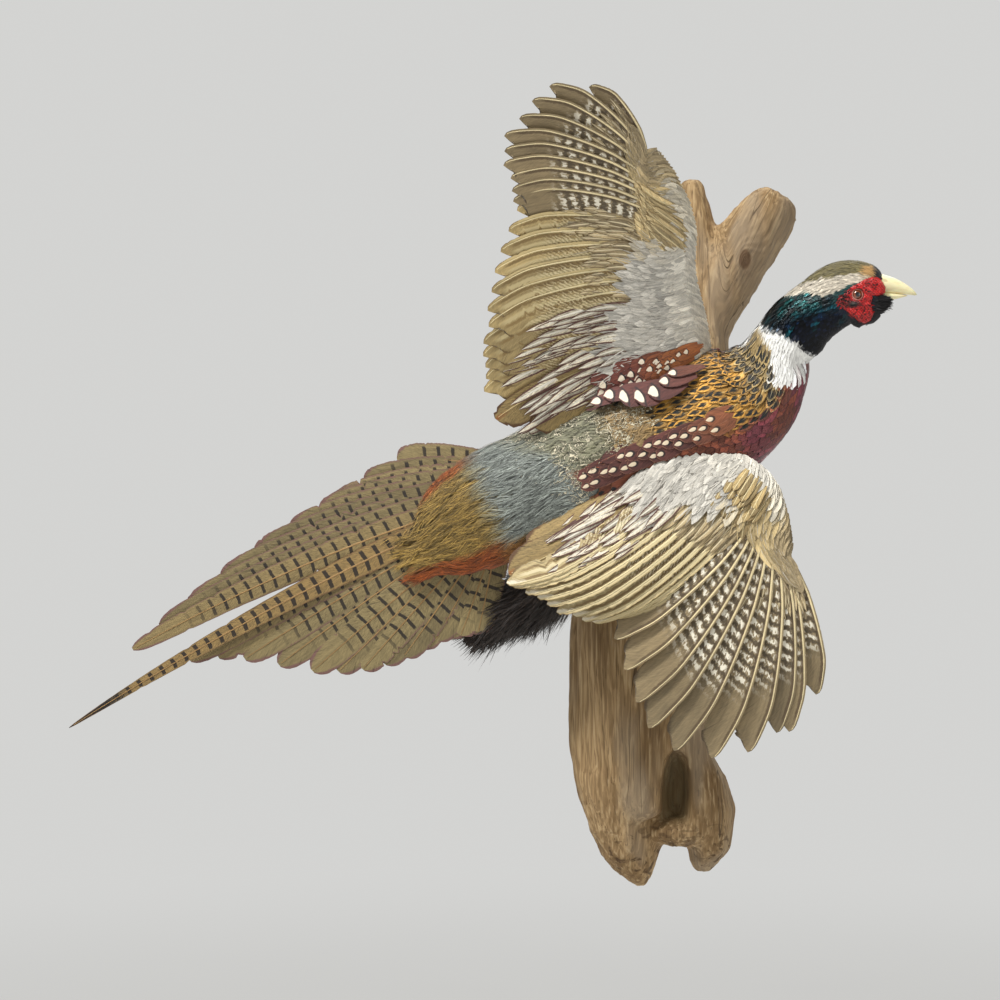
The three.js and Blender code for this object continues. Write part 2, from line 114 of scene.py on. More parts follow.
# Stations from the tail to the forehead: centre, half width, reach to the back and belly, turn of the back.
BODY_AT = [
    (-251, -124, -142), (-224, -130, -127), (-188, -137, -108), (-142, -144, -86), (-90, -149, -63), (-37, -152, -42),
    (8, -156, -25), (43, -162, -8), (61, -171, 13), (70, -181, 33), (82, -193, 53), (99, -205, 69), (117, -213, 79),
    (133, -218, 80), (147, -220, 77), (156, -221, 75),
]
BODY_WIDE = [27, 43, 50, 52, 56, 59, 60, 53, 42, 32, 27, 23, 17, 15, 12, 6]
BODY_BACK = [5, 13, 25, 36, 44, 49, 49, 44, 36, 31, 28, 26, 28, 26, 19, 10]
BODY_BELLY = [6, 15, 28, 42, 54, 60, 60, 53, 41, 32, 28, 27, 27, 31, 25, 14]
BODY_BANK = [12, 12, 13, 14, 15, 16, 18, 23, 35, 52, 70, 84, 90, 90, 90, 90]
TAIL_REACH = 140  # the rump's feathers run on this far behind the body, over the tail


def body_tables():
    shares = np.linspace(0, 1, 401)
    line = catmull(BODY_AT, shares)
    ahead = unit(np.gradient(line, axis=0))
    out = unit(np.array([0, -1, 0]) + ahead * ahead[:, 1:2])
    side = np.cross(out, ahead)
    bank = np.radians(catmull(BODY_BANK, shares))[:, None]
    sizes = np.stack([catmull(size, shares) for size in (BODY_WIDE, BODY_BACK, BODY_BELLY)], 1)
    s = np.concatenate([[0], np.cumsum(np.linalg.norm(np.diff(line, axis=0), axis=1))])
    back = np.cos(bank) * out + np.sin(bank) * side
    left = np.cos(bank) * side - np.sin(bank) * out
    rows = np.hstack([line, left, back, sizes])
    tail_way = unit(np.array([-407.0, 40, -210]))
    behind = rows[0].copy()
    behind[:3] += tail_way * TAIL_REACH
    behind[9:] = 20, 4, 4
    return np.concatenate([[-TAIL_REACH], s]), np.vstack([behind, rows])


BODY_S, BODY_ROWS = body_tables()
BODY_LENGTH = BODY_S[-1]


def slimmed(s, a):
    """How far the dressed chest lies inside the solid one, in mm."""
    return 8.5 * smooth(300, 335, s) * smooth(400, 374, s) * smooth(60, 115, np.abs((a + 180) % 360 - 180))


def on_body(s, a, height=0.0):
    """The point at s mm from the tail end and a degrees from the back (+ to the bird's left), and its outward
    direction."""
    height = height - slimmed(s, a)
    rows = interpolate(s, BODY_S, BODY_ROWS)
    line, left, back, sizes = np.split(rows, [3, 6, 9], -1)
    x, y = np.sin(np.radians(a)), np.cos(np.radians(a))
    deep = np.where(y > 0, sizes[..., 1], sizes[..., 2])
    wide = sizes[..., 0]
    place = line + left * (x * (wide + height))[..., None] + back * (y * (deep + height))[..., None]
    return place, unit(left * (x / wide)[..., None] + back * (y / deep)[..., None])


def girth(s):
    """Length round the body at s, in mm."""
    wide, back, belly = (float(np.interp(s, BODY_S, BODY_ROWS[:, 9 + k])) for k in range(3))
    return math.pi * (wide + (back + belly) / 2)


WINGS = {
    "left": {
        "lead": [(10, -158, 22), (2, -172, 62), (-9, -192, 100), (-11, -214, 140), (-28, -232, 178), (-48, -246, 203)],
        "rear": [(-92, -168, -14), (-100, -184, 30), (-98, -200, 70), (-90, -216, 108), (-84, -230, 146),
                 (-72, -244, 184)],
        "normal": (-0.1, -0.93, -0.36),
        "ahead": (0.3, 0, 1),
        "primaries": {
            "roots": (0.97, 0.69),
            "tips": [(-103, 249), (-137, 249), (-152, 237), (-163, 223), (-176, 209), (-176, 197), (-177, 186),
                     (-171, 176), (-170, 166), (-169, 158)],
            "lean": (-0.38, -0.19),
            "bow": ((0.05, -0.05, 0.05), (0, -0.05, 0.05)),
        },
        "secondaries": {
            "roots": (0.66, 0.2),
            "tips": [(-169, 149), (-181, 112), (-191, 75), (-195, 44), (-197, 20), (-196, -1)],
            "lean": (-0.19, 0),
            "bow": ((0, -0.05, 0.05), (0, -0.05, 0.05)),
        },
        "tertials": {
            "roots": (0.16, 0.04),
            "tips": [(-184, -28), (-152, -34), (-122, -28)],
            "lean": (0, 0),
            "bow": ((0, -0.05, 0.03), (0, -0.05, 0.02)),
        },
    },
    "right": {
        "lead": [(6, -176, -40), (24, -190, -55), (42, -202, -66), (60, -206, -84), (70, -204, -110), (76, -200, -142)],
        "rear": [(-84, -180, -72), (-78, -192, -112), (-60, -200, -136), (-26, -202, -152), (18, -202, -158),
                 (60, -200, -160)],
        "normal": (-0.05, -0.97, 0.22),
        "ahead": (1, 0, -0.3),
        "primaries": {
            "roots": (0.97, 0.69),
            "tips": [(102, -271), (79, -305), (68, -306), (43, -324), (11, -330), (-22, -324), (-45, -304), (-56, -281),
                     (-67, -252), (-76, -225)],
            "lean": (0.2, 0.23),
            "bow": ((0.04, -0.05, 0), (0.04, -0.05, 0)),
        },
        "secondaries": {
            "roots": (0.66, 0.2),
            "tips": [(-80, -207), (-102, -212), (-124, -206), (-146, -193), (-163, -182), (-175, -178)],
            "lean": (0.23, 0.1),
            "bow": ((0.04, -0.05, -0.02), (0.04, -0.05, -0.03)),
        },
        "tertials": {
            "roots": (0.16, 0.04),
            "tips": [(-172, -166), (-158, -150), (-140, -132)],
            "lean": (0.1, 0.06),
            "bow": ((0.03, -0.05, 0), (0.03, -0.05, 0)),
        },
    },
}
CAMBER = 6
FLIGHT = {"primaries": 10, "secondaries": 12, "tertials": 3}
VANES = {"primaries": (8, 17), "secondaries": (9, 18), "tertials": (11, 17)}  # reach before and behind the line
TAIL = {
    "roots": ((-166, -136, -78), (-180, -132, -120)),
    "tips": [(-274, -64), (-330, -103), (-345, -112), (-405, -150), (-468, -197), (-520, -238), (-581, -312),
             (-466, -248), (-415, -246), (-352, -257), (-306, -255), (-268, -243), (-239, -228), (-216, -224),
             (-200, -221)],
    "lean": (0.145, 0.145),
    "bow": ((-0.01, -0.02, 0.06), (0, -0.02, -0.03)),
}
TAIL_COUNT, TAIL_VANE, TAIL_MIDDLE, TAIL_POINTED = 15, 13, 6, 465
VANE_STEP = 0.4
EYES = {"right": np.array((127, -228.7, 76.5)), "left": np.array((127, -204.3, 76.5))}
EYE_RADIUS = 5.2


def arm(wing, t, across):
    """A point in the middle layer of a wing's covered arm: t from the shoulder out, across from the lead."""
    t, across = np.broadcast_arrays(np.asarray(t, float), np.asarray(across, float))
    place = mix(catmull(wing["lead"], t), catmull(wing["rear"], t), across[..., None])
    rise = CAMBER * np.sin(np.pi * np.clip(across, 0, 1))
    return place + unit(np.array(wing["normal"])) * rise[..., None]


def fan_lines(roots, fan, count):
    """Root, middle control and tip of each feather's curve."""
    t = np.linspace(0, 1, count)[:, None]
    tips = np.array([(x, 0, z) for x, z in fan["tips"]], float)
    ends = catmull(tips, t[:, 0])
    length = np.hypot(ends[:, :1] - roots[:, :1], ends[:, 2:] - roots[:, 2:])
    ends[:, 1:2] = roots[:, 1:2] + mix(*fan["lean"], t) * length
    bow = mix(np.array(fan["bow"][0]), np.array(fan["bow"][1]), t) * length
    return roots, (roots + ends) / 2 + 2 * bow, ends


def bezier(root, middle, tip, w):
    return root * (1 - w) ** 2 + middle * (2 * w * (1 - w)) + tip * w ** 2


def wing_lines(wing):
    """The flight feathers' curves along the arm, from the shoulder out, as (t, root, middle, tip)."""
    rows = []
    for name, count in FLIGHT.items():
        t = mix(*wing[name]["roots"], np.linspace(0, 1, count))
        rows.append((t, *fan_lines(arm(wing, t, 0.4), wing[name], count)))
    joined = [np.concatenate(part) for part in zip(*rows)]
    order = np.argsort(joined[0])
    return [part[order] for part in joined]


def flow(wing, t, d):
    """Where a feather lies that starts from the wing's leading edge at t and runs d mm back over it."""
    at, root, middle, tip = wing["lines"]
    base = arm(wing, t, 0.4)
    mid = base + interpolate(t, at, middle - root)
    end = base + interpolate(t, at, tip - root)
    lead, rear = arm(wing, t, 0), arm(wing, t, 1)
    chord = np.linalg.norm(rear - lead, axis=-1)
    reach = np.linalg.norm(end - base, axis=-1)
    along = np.clip((d - 0.4 * chord) / reach, -0.2, 1.1)[..., None]
    share = smooth(0.1 * chord, 0.8 * chord, d)[..., None]
    return mix(arm(wing, t, d / chord), bezier(base, mid, end, along), share)


def chord_of(wing, t):
    return np.linalg.norm(arm(wing, t, 1) - arm(wing, t, 0), axis=-1)


for each_wing in WINGS.values():
    each_wing["lines"] = wing_lines(each_wing)


# ---- Markings ---------------------------------------------------------------------------------------------

GOLD = (182, 134, 56)
GOLD_DULL = (150, 128, 84)
BACK = (146, 120, 78)
MAROON = (122, 54, 64)
COPPER = (118, 60, 42)
CHESTNUT = (122, 66, 44)
SQUIGGLE = (120, 118, 94)
BLUE_GREY = (128, 133, 126)
OLIVE = (134, 109, 54)
RUST = (142, 72, 26)
FLANK = (150, 104, 50)
VENT = (38, 28, 22)
RING = (232, 231, 226)
NECK_GREEN = (10, 50, 50)
NECK_BLUE = (13, 22, 46)
NECK_BLACK = (13, 14, 19)
CROWN = (104, 95, 60)
BROW = (190, 180, 162)
FOREHEAD = (182, 142, 88)
WATTLE = (160, 14, 16)

# The bare red face and the pale brow, seen from the side: x ahead of the eye and z above it.
FACE = np.array([
    (12.7, 16), (18.1, 14), (22.6, 11), (24.6, 7), (24.8, 2), (22, -0.8), (13.5, -1.7), (12.2, -8.6), (14.9, -16.3),
    (12.7, -22), (6.5, -24.6), (-0.4, -21.7), (-6.5, -16.3), (-11.1, -12.5), (-16.5, -7.8), (-17.3, -4), (-12.7, -0.2),
    (-5.8, 6.8), (-0.4, 9.8), (6.5, 13.7),
])
BROW_TOP = np.array([(-62, 0), (-57.3, 3.7), (-47.3, 10.6), (-28, 15.2), (-12.7, 16.8), (4.2, 19.1), (13, 16.5), (30, 16)])
BROW_FOOT = np.array([(-62, 0), (-52, 1), (-42.3, 3.4), (-35.8, -0.2), (-25.8, -0.9), (-20.4, 1.4), (-12.7, 4.2), (-5, 8.3),
                      (13, 16.5), (30, 16)])


def inside(points, outline):
    """How far points lie inside an outline, in mm, negative outside it."""
    a, b = outline, np.roll(outline, -1, 0)
    way = b - a
    rel = points[..., None, :] - a
    t = np.clip((rel * way).sum(-1) / (way ** 2).sum(-1), 0, 1)
    distance = np.linalg.norm(rel - way * t[..., None], axis=-1).min(-1)
    x, z = points[..., None, 0], points[..., None, 1]
    crosses = (a[:, 1] > z) != (b[:, 1] > z)
    level = np.where(np.abs(way[:, 1]) < 1e-9, 1e-9, way[:, 1])
    left_of = x < a[:, 0] + (z - a[:, 1]) * way[:, 0] / level
    odd = (crosses & left_of).sum(-1) % 2 == 1
    return np.where(odd, distance, -distance)


def head_plumage(place):
    """The colour of the head and upper neck, by its place ahead of and above the eye."""
    x = place[..., 0] - EYES["right"][0]
    z = place[..., 2] - EYES["right"][2]
    x = x + 1.2 * ripple(place, 4.0)
    z = z + 0.9 * ripple(place, 3.0, 2.0)
    low = smooth(-6, -26, z - 0.45 * x)
    colour = blend(np.broadcast_to(np.array(NECK_GREEN, float), (*x.shape, 3)), NECK_BLUE, smooth(2, -16, z - 0.25 * x))
    patchy = ripple(place, 7.0, 5.0)
    # Brighter teal patches behind the eye: the neck's own green with a painted iridescent sheen.
    colour = blend(colour, (16, 88, 84), 0.55 * smooth(0.25, 0.8, patchy) * smooth(-2, -8, x))
    colour = blend(colour, NECK_BLACK, np.maximum(low, 0.75 * smooth(0.0, -0.6, patchy)))
    top = np.interp(x, *BROW_TOP.T)
    foot = np.interp(x, *BROW_FOOT.T)
    colour = blend(colour, BROW, smooth(-0.6, 0.6, z - foot))
    colour = blend(colour, CROWN, smooth(-0.8, 0.8, z - top))
    colour = blend(colour, FOREHEAD, smooth(2, 7, x) * smooth(13, 18, z) * smooth(27, 22, z))
    front = inside(np.stack([x, z], -1), FACE)
    colour = blend(colour, NECK_BLACK, smooth(15.5, 17.5, x) * np.maximum(smooth(12, 15, z), smooth(0, -2, z)))
    return blend(colour, WATTLE, smooth(-0.3, 0.3, front))


def ring_edges(a):
    """Where the white ring starts and ends along the body, at an angle from the back."""
    start = np.interp(a, [-180, -110, -60, -30, 0, 25, 60, 110, 180], [370, 375, 362, 355, 372, 376, 360, 370, 370])
    end = np.interp(a, [-180, -130, -60, -40, 0, 40, 110, 180], [391, 394, 404, 401, 392, 398, 398, 391])
    return start, end


def plumage(s, a, place):
    """The ground colour of body, neck and head at s mm from the tail end and a degrees from the back."""
    s = s + 2.5 * ripple(place, 9.0)
    b = a - 15 * smooth(400, 300, s)  # the angle from the middle of the back
    b = (b + 180) % 360 - 180 + 3 * ripple(place, 7.0, 1.0)
    off = np.abs(b)
    colour = np.broadcast_to(np.array(OLIVE, float), (*s.shape, 3))
    colour = blend(colour, RUST, smooth(50, 64, off) * smooth(110, 60, s))
    colour = blend(colour, RUST, 0.9 * smooth(30, 46, b) * smooth(130, 90, s))
    colour = blend(colour, BLUE_GREY, smooth(62, 92, s) * smooth(72, 60, off))
    colour = blend(colour, SQUIGGLE, smooth(132, 150, s + 0.7 * b) * smooth(60, 50, off))
    colour = blend(colour, CHESTNUT, smooth(150, 170, s) * smooth(26, 30, off))
    colour = blend(colour, BACK, smooth(188, 208, s) * smooth(40, 32, off))
    colour = blend(colour, GOLD, smooth(226, 250, s) * smooth(44, 38, off))
    colour = blend(colour, GOLD, smooth(288, 300, s) * smooth(72, 56, off))
    colour = blend(colour, GOLD_DULL, smooth(332, 352, s) * smooth(60, 44, off))
    colour = blend(colour, FLANK, smooth(60, 90, s) * smooth(62, 74, off) * smooth(300, 270, s))
    colour = blend(colour, VENT, smooth(118, 132, off) * smooth(300, 250, s))
    chest = smooth(262, 292, s) * smooth(44, 58, off)
    colour = blend(colour, COPPER, chest)
    colour = blend(colour, MAROON, chest * smooth(0.0, 0.5, ripple(place, 22.0) + 0.4 * smooth(60, 90, off)))
    colour = blend(colour, VENT, chest * smooth(128, 150, off) * smooth(360, 330, s))
    start, end = ring_edges(a)
    nape = smooth(-32, -24, a) * smooth(30, 20, a) * smooth(392, 384, s) * smooth(340, 352, s)
    colour = blend(colour, RING, smooth(start - 1, start + 1, s) * (1 - nape))
    return mix(colour, head_plumage(place), smooth(end - 1.2, end + 1.2, s)[..., None])


# ---- Shaders ----------------------------------------------------------------------------------------------

class Wire:
    """An output socket of a node, which can be used in sums."""

    def __init__(self, shader, socket):
        self.shader, self.socket = shader, socket

    def sum(self, operation, *others):
        return self.shader.maths(operation, self, *others)

    def __add__(self, other): return self.sum("ADD", other)
    def __radd__(self, other): return self.sum("ADD", other)
    def __sub__(self, other): return self.sum("SUBTRACT", other)
    def __rsub__(self, other): return self.shader.maths("SUBTRACT", other, self)
    def __mul__(self, other): return self.sum("MULTIPLY", other)
    def __rmul__(self, other): return self.sum("MULTIPLY", other)
    def __truediv__(self, other): return self.sum("DIVIDE", other)
    def __rtruediv__(self, other): return self.shader.maths("DIVIDE", other, self)
    def size(self): return self.sum("ABSOLUTE")
    def wave(self): return self.sum("SINE")
    def beyond(self, other): return self.sum("GREATER_THAN", other)
    def power(self, other): return self.sum("POWER", other)

    def step(self, low, high):
        """0 below low, 1 above high, softly. Either way round."""
        node = self.shader.new("ShaderNodeMapRange")
        node.interpolation_type = "SMOOTHSTEP"
        flip = low > high
        self.shader.put(node.inputs["Value"], self)
        self.shader.put(node.inputs["From Min"], min(low, high))
        self.shader.put(node.inputs["From Max"], max(low, high))
        self.shader.put(node.inputs["To Min"], 1.0 if flip else 0.0)
        self.shader.put(node.inputs["To Max"], 0.0 if flip else 1.0)
        return Wire(self.shader, node.outputs["Result"])


class Shader:
    """One material, built from sums of wires."""

    def __init__(self, name):
        self.material = bpy.data.materials.new(name)
        self.material.use_nodes = True
        self.nodes = self.material.node_tree.nodes
        self.body = self.nodes["Principled BSDF"]

    def new(self, kind):
        return self.nodes.new(kind)

    def put(self, socket, value):
        if isinstance(value, Wire):
            self.material.node_tree.links.new(value.socket, socket)
        else:
            socket.default_value = value

    def maths(self, operation, *values):
        node = self.new("ShaderNodeMath")
        node.operation = operation
        for socket, value in zip(node.inputs, values):
            self.put(socket, value)
        return Wire(self, node.outputs[0])

    def attribute(self, name):
        node = self.new("ShaderNodeAttribute")
        node.attribute_name = name
        return node

    def parts(self, name):
        """The three numbers of a vector attribute."""
        split = self.new("ShaderNodeSeparateXYZ")
        self.put(split.inputs[0], Wire(self, self.attribute(name).outputs["Vector"]))
        return [Wire(self, output) for output in split.outputs]

    def place(self, scale=(1, 1, 1)):
        """The point on the object, in mm, stretched by scale."""
        node = self.new("ShaderNodeVectorMath")
        node.operation = "MULTIPLY"
        self.put(node.inputs[0], Wire(self, self.new("ShaderNodeTexCoord").outputs["Object"]))
        node.inputs[1].default_value = [1000 * k for k in scale]
        return Wire(self, node.outputs[0])

    def join(self, x, y, z):
        node = self.new("ShaderNodeCombineXYZ")
        for socket, value in zip(node.inputs, (x, y, z)):
            self.put(socket, value)
        return Wire(self, node.outputs[0])

    def noise(self, vector, scale, detail=2.0, twist=0.0):
        node = self.new("ShaderNodeTexNoise")
        self.put(node.inputs["Vector"], vector)
        for name, value in (("Scale", scale), ("Detail", detail), ("Distortion", twist)):
            node.inputs[name].default_value = value
        return Wire(self, node.outputs["Fac"])

    def mix(self, share, a, b):
        """Colour a moved to b by share. Fixed colours are sRGB."""
        node = self.new("ShaderNodeMix")
        node.data_type = "RGBA"
        self.put(node.inputs["Factor"], share)
        for socket, value in ((node.inputs[6], a), (node.inputs[7], b)):
            self.put(socket, value if isinstance(value, Wire) else (*linear(value), 1.0))
        return Wire(self, node.outputs[2])

    def shade(self, colour, factor):
        """A colour made lighter or darker."""
        node = self.new("ShaderNodeVectorMath")
        node.operation = "SCALE"
        self.put(node.inputs[0], colour)
        self.put(node.inputs["Scale"], factor)
        return Wire(self, node.outputs[0])

    def finish(self, colour, roughness, height=None, relief=0.2, depth=0.0004, **fixed):
        self.put(self.body.inputs["Base Color"], colour)
        self.put(self.body.inputs["Roughness"], roughness)
        if height is not None:
            bump = self.new("ShaderNodeBump")
            bump.inputs["Strength"].default_value = relief
            bump.inputs["Distance"].default_value = depth
            self.put(bump.inputs["Height"], height)
            self.put(self.body.inputs["Normal"], Wire(self, bump.outputs[0]))
        for name, value in fixed.items():
            self.body.inputs[name.replace("_", " ")].default_value = value
        return self.material


def feather_material(name, edge=None, edge_from=0.75, tip=None, tip_from=0.8, tip_bend=0.25, shaft=None,
                     shaft_width=0.09, shaft_taper=0.03, bars=None, bar_gap=12.0, bar_width=0.3, bar_side=0,
                     bar_break=0.25, bar_slant=0.25, bar_span=(0.0, 1.0), bar_dark=0.55, bar_share=0.94, mottle=None, mottle_size=0.8,
                     mottle_share=0.5, spot=None, streak=0.3, gloss=0.62, sheen=0.25, squiggle=None, metal=0.0,
                     relief=0.4, stripes=()):
    """Vanes with their ground colour in the attribute tint. Marks lie in the feather's own directions: u from
    -1 (rear edge) to 1 (front edge), v from root to tip, and mm along and across."""
    m = Shader(name)
    u, v, luck = m.parts("vane")
    far, out, chance = m.parts("span")
    wide = u.size()
    barbs = (far - out.size() * 2.0) * 0.45
    seat = luck * 83.0
    fine = m.noise(m.join(barbs * 1.7, out * 0.3, seat), 1.0, 3.0)
    broad = m.noise(m.join(far * 0.05, out * 0.45, seat + 7.0), 1.0, 3.0)
    colour = Wire(m, m.attribute("tint").outputs["Color"])
    colour = m.shade(colour, 1.0 + (fine - 0.5) * (3.0 * streak) + (broad - 0.5) * (1.6 * streak + 0.5) + (chance - 0.5) * 0.2)
    along = v.step(bar_span[0] - 0.06, bar_span[0] + 0.06) * v.step(bar_span[1] + 0.08, bar_span[1] - 0.08)
    if mottle is not None:
        specks = m.noise(m.join(barbs * 2.2, out * 0.9, seat + 3.0), mottle_size, 2.0)
        share = specks.step(0.6 - 0.24 * mottle_share, 0.68 - 0.24 * mottle_share)
        colour = m.mix(share * along * 0.7, colour, mottle)
    for middle, half, stripe in stripes:
        beside = (u - middle + (fine - 0.5) * 0.12).size()
        colour = m.mix(beside.step(half, half * 0.5) * v.step(0.97, 0.9) * 0.8, colour, stripe)
    if bars is not None:
        wobble = m.noise(m.join(far * 0.2, out * 0.35, seat + 5.0), 1.0, 3.0)
        path = far - out.size() * bar_slant
        beat = ((path + wobble * (bar_gap * bar_break * 2.0) + luck * bar_gap) * (2 * math.pi / bar_gap)).wave()
        band = beat.step(1.0 - 2 * bar_width, 1.2 - 2 * bar_width)
        if bar_side:
            worn = m.noise(m.join(far * 0.16, out * 0.5, seat + 17.0), 1.0, 1.0).step(0.38, 0.46)
            band = band * (u * bar_side).step(0.06, 0.2) * worn
            dark = beat.step(-0.1, -0.7) * (u * bar_side).step(0.0, 0.1)
            colour = m.mix(along * dark * bar_dark, colour, (66, 54, 38))
        else:
            band = band * wide.step(0.88, 0.72)
        colour = m.mix(band * along * bar_share, colour, bars)
    if squiggle is not None:
        drift = m.noise(m.place(), 0.11, 0.5, 2.6)
        patch = m.noise(m.place(), 0.06, 1.0).step(0.4, 0.47)
        colour = m.mix((drift - 0.5).size().step(0.09, 0.06) * patch * 0.75, colour, squiggle[1])
        colour = m.mix((drift - 0.5).size().step(0.038, 0.026) * patch, colour, squiggle[0])
    if spot is not None:
        # A pale oval on the shaft, with a darker mark on its root side.
        middle, size, pale, ring, flat = spot
        ahead = (v - middle) * (1 / size[0])
        beside = u * (1 / size[1])
        away = (ahead * ahead + beside * beside).power(0.5) + (fine - 0.5) * 0.35 + ahead.step(-0.3, -0.9) * flat
        colour = m.mix(away.step(1.75, 1.4) * ahead.step(0.3, -0.5) * 0.9, colour, ring)
        colour = m.mix(away.step(1.08, 0.86), colour, pale)
    if tip is not None:
        end = (v - wide * tip_bend + (fine - 0.5) * 0.16).step(tip_from, tip_from + 0.06)
        colour = m.mix(end, colour, tip)
    if edge is not None:
        rim = (wide + (fine - 0.5) * 0.4 + v.step(0.88, 1.0) * 0.3).step(edge_from, edge_from + 0.16)
        colour = m.mix(rim, colour, edge)
    if shaft is not None:
        colour = m.mix((wide + v * shaft_taper).step(shaft_width, shaft_width * 0.6), colour, shaft)
    # Splits between the barbs: a groove in the bump, and painted shade that darkens the colour in them.
    shaded_cleft = m.noise(m.join(barbs * 0.7, out * 0.05, seat + 11.0), 1.0, 1.0).step(0.33, 0.29) * wide.step(0.3, 0.8)
    colour = m.shade(colour, 1.0 - shaded_cleft * 0.4)
    height = fine * 1.2 + wide.step(0.14, 0.0) * 0.5 - shaded_cleft
    return m.finish(colour, gloss, height, relief, 0.0007, Sheen_Weight=sheen, Sheen_Roughness=0.5, Metallic=metal,
                    Specular_IOR_Level=0.35)


# ---- Meshes -----------------------------------------------------------------------------------------------

def mesh_object(name, points, quads, material, replaces=(), slot=None, smooth_shade=True, uv=None, **attributes):
    """A mesh piece of the object from points in mm, quads, and named attributes of its points."""
    mesh = bpy.data.meshes.new(name)
    mesh.vertices.add(len(points))
    mesh.vertices.foreach_set("co", (np.asarray(points, float) * MM).ravel().astype(np.float32))
    mesh.loops.add(quads.size)
    mesh.loops.foreach_set("vertex_index", quads.ravel().astype(np.int32))
    mesh.polygons.add(len(quads))
    mesh.polygons.foreach_set("loop_start", np.arange(len(quads), dtype=np.int32) * 4)
    mesh.update(calc_edges=True)
    mesh.polygons.foreach_set("use_smooth", np.full(len(quads), smooth_shade))
    for key, values in attributes.items():
        kind, field = ("FLOAT_COLOR", "color") if values.shape[1] == 4 else ("FLOAT_VECTOR", "vector")
        layer = mesh.attributes.new(key, kind, "POINT")
        layer.data.foreach_set(field, values.ravel().astype(np.float32))
    if uv is not None:
        layer = mesh.uv_layers.new(name="OFBake")
        layer.data.foreach_set("uv", uv[quads.ravel()].ravel().astype(np.float32))
    mesh.materials.append(material)
    piece = bpy.data.objects.new(name, mesh)
    bpy.context.scene.collection.objects.link(piece)
    settle(piece, replaces, slot)
    return piece


def settle(piece, replaces=(), slot=None):
    """Puts a piece on the object's one body."""
    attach(piece, "root")
    if replaces:
        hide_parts(*replaces)


def grid_quads(rows, cols):
    i = np.arange(rows * cols).reshape(rows, cols)
    return np.stack([i[:-1, :-1], i[1:, :-1], i[1:, 1:], i[:-1, 1:]], -1).reshape(-1, 4)


class Coat:
    """Feathers gathered into one mesh. Each is a grid: rows from root to tip, columns from rear to front."""

    def __init__(self, name, material, slot="plumage"):
        self.name, self.material, self.slot = name, material, slot
        self.points, self.quads, self.vane, self.span, self.tint, self.uv = [], [], [], [], [], []
        self.total = 0

    def add(self, centre, up, rear, front, cols, tint, root_uv, patch=(0.003, 0.003), cup=0.0, roll=0.0, flip=False):
        """centre and up: feathers x rows x 3. rear and front: half widths, feathers x rows. tint: one colour a
        feather, or one a row. cup bends the vane down at its edges, roll lifts its front edge, in mm per mm."""
        count, rows = centre.shape[:2]
        way = unit(np.gradient(centre, axis=1))
        side = unit(np.cross(up, way))
        over = unit(np.cross(way, side))
        u = np.linspace(-1, 1, cols)
        out = np.where(u < 0, rear[..., None], front[..., None]) * u
        height = out * np.reshape(roll, (-1, 1, 1)) - np.reshape(cup, (-1, 1, 1)) * out ** 2
        points = centre[:, :, None] + side[:, :, None] * out[..., None] + over[:, :, None] * height[..., None]
        steps = np.linalg.norm(np.diff(centre, axis=1), axis=-1)
        far = np.concatenate([np.zeros((count, 1)), np.cumsum(steps, 1)], 1)
        shape = (count, rows, cols)
        v = np.linspace(0, 1, rows)[None, :, None]
        luck = dice.random((count, 2))
        self.points.append(points.reshape(-1, 3))
        self.vane.append(stack(shape, (-u if flip else u)[None, None], v, luck[:, 0, None, None]))
        self.span.append(stack(shape, far[..., None], out, luck[:, 1, None, None]))
        tint = tint[:, None] if tint.ndim == 2 else tint
        self.tint.append(stack(shape, *(linear(tint)[..., k][..., None] for k in range(3)), 1.0))
        uv_u = root_uv[:, 0, None, None] + u * patch[0] / 2
        uv_v = root_uv[:, 1, None, None] + v * patch[1]
        self.uv.append(stack(shape, uv_u, uv_v))
        first = self.total + np.arange(count)[:, None, None] * rows * cols
        self.quads.append((grid_quads(rows, cols)[None] + first).reshape(-1, 4))
        self.total += count * rows * cols

    def build(self, replaces=()):
        joined = {key: np.concatenate(getattr(self, key)) for key in ("vane", "span", "tint")}
        return mesh_object(self.name, np.concatenate(self.points), np.concatenate(self.quads), self.material, replaces,
                           self.slot, uv=np.concatenate(self.uv), **joined)


def stack(shape, *values):
    return np.stack([np.broadcast_to(value, shape) for value in values], -1).reshape(-1, len(values))


ROUND = ((0, 0.35), (0.3, 0.8), (0.6, 1), (0.82, 0.9), (0.94, 0.6), (1, 0.12))
LANCE = ((0, 0.4), (0.25, 0.9), (0.5, 1), (0.75, 0.72), (0.92, 0.34), (1, 0.06))
BLUNT = ((0, 0.3), (0.25, 0.85), (0.6, 1), (0.9, 0.95), (0.97, 0.7), (1, 0.3))
MANTLE = ((0, 0.3), (0.3, 0.8), (0.6, 1), (0.8, 0.82), (0.92, 0.52), (1, 0.08))
SILK = ((0, 0.4), (0.3, 0.85), (0.6, 1), (0.85, 0.7), (0.95, 0.4), (1, 0.06))
HAIR = ((0, 0.8), (0.3, 1), (0.7, 0.7), (1, 0.1))


def outline(shape, rows):
    at, width = np.array(shape).T
    return np.interp(np.linspace(0, 1, rows), at, width)


def rows_over(start, stop, spacing, around, low=-180.0, high=180.0, jitter=0.18):
    """Staggered places on a form: rows at a spacing from start to stop, each low to high in degrees (or any
    such unit) across, where around(row) is the length in mm of that span."""
    places = []
    for k, row in enumerate(np.arange(start, stop, spacing * 0.87)):
        count = max(1, round(around(row) / spacing))
        step = (high - low) / count
        across = low + step * (np.arange(count) + 0.25 + 0.5 * (k % 2))
        across = across + step * jitter * dice.uniform(-1, 1, count)
        places.append(np.stack([row + spacing * jitter * dice.uniform(-1, 1, count), across], 1))
    return np.concatenate(places)


def vary(count, share):
    """Numbers round 1 that differ by up to a share."""
    return 1 + share * dice.uniform(-1, 1, count)


def body_uv(s, a):
    return np.stack([0.02 + 0.96 * ((a + 180) % 360) / 360, 0.02 + 0.9 * (s + 60) / (BODY_LENGTH + 120)], 1)


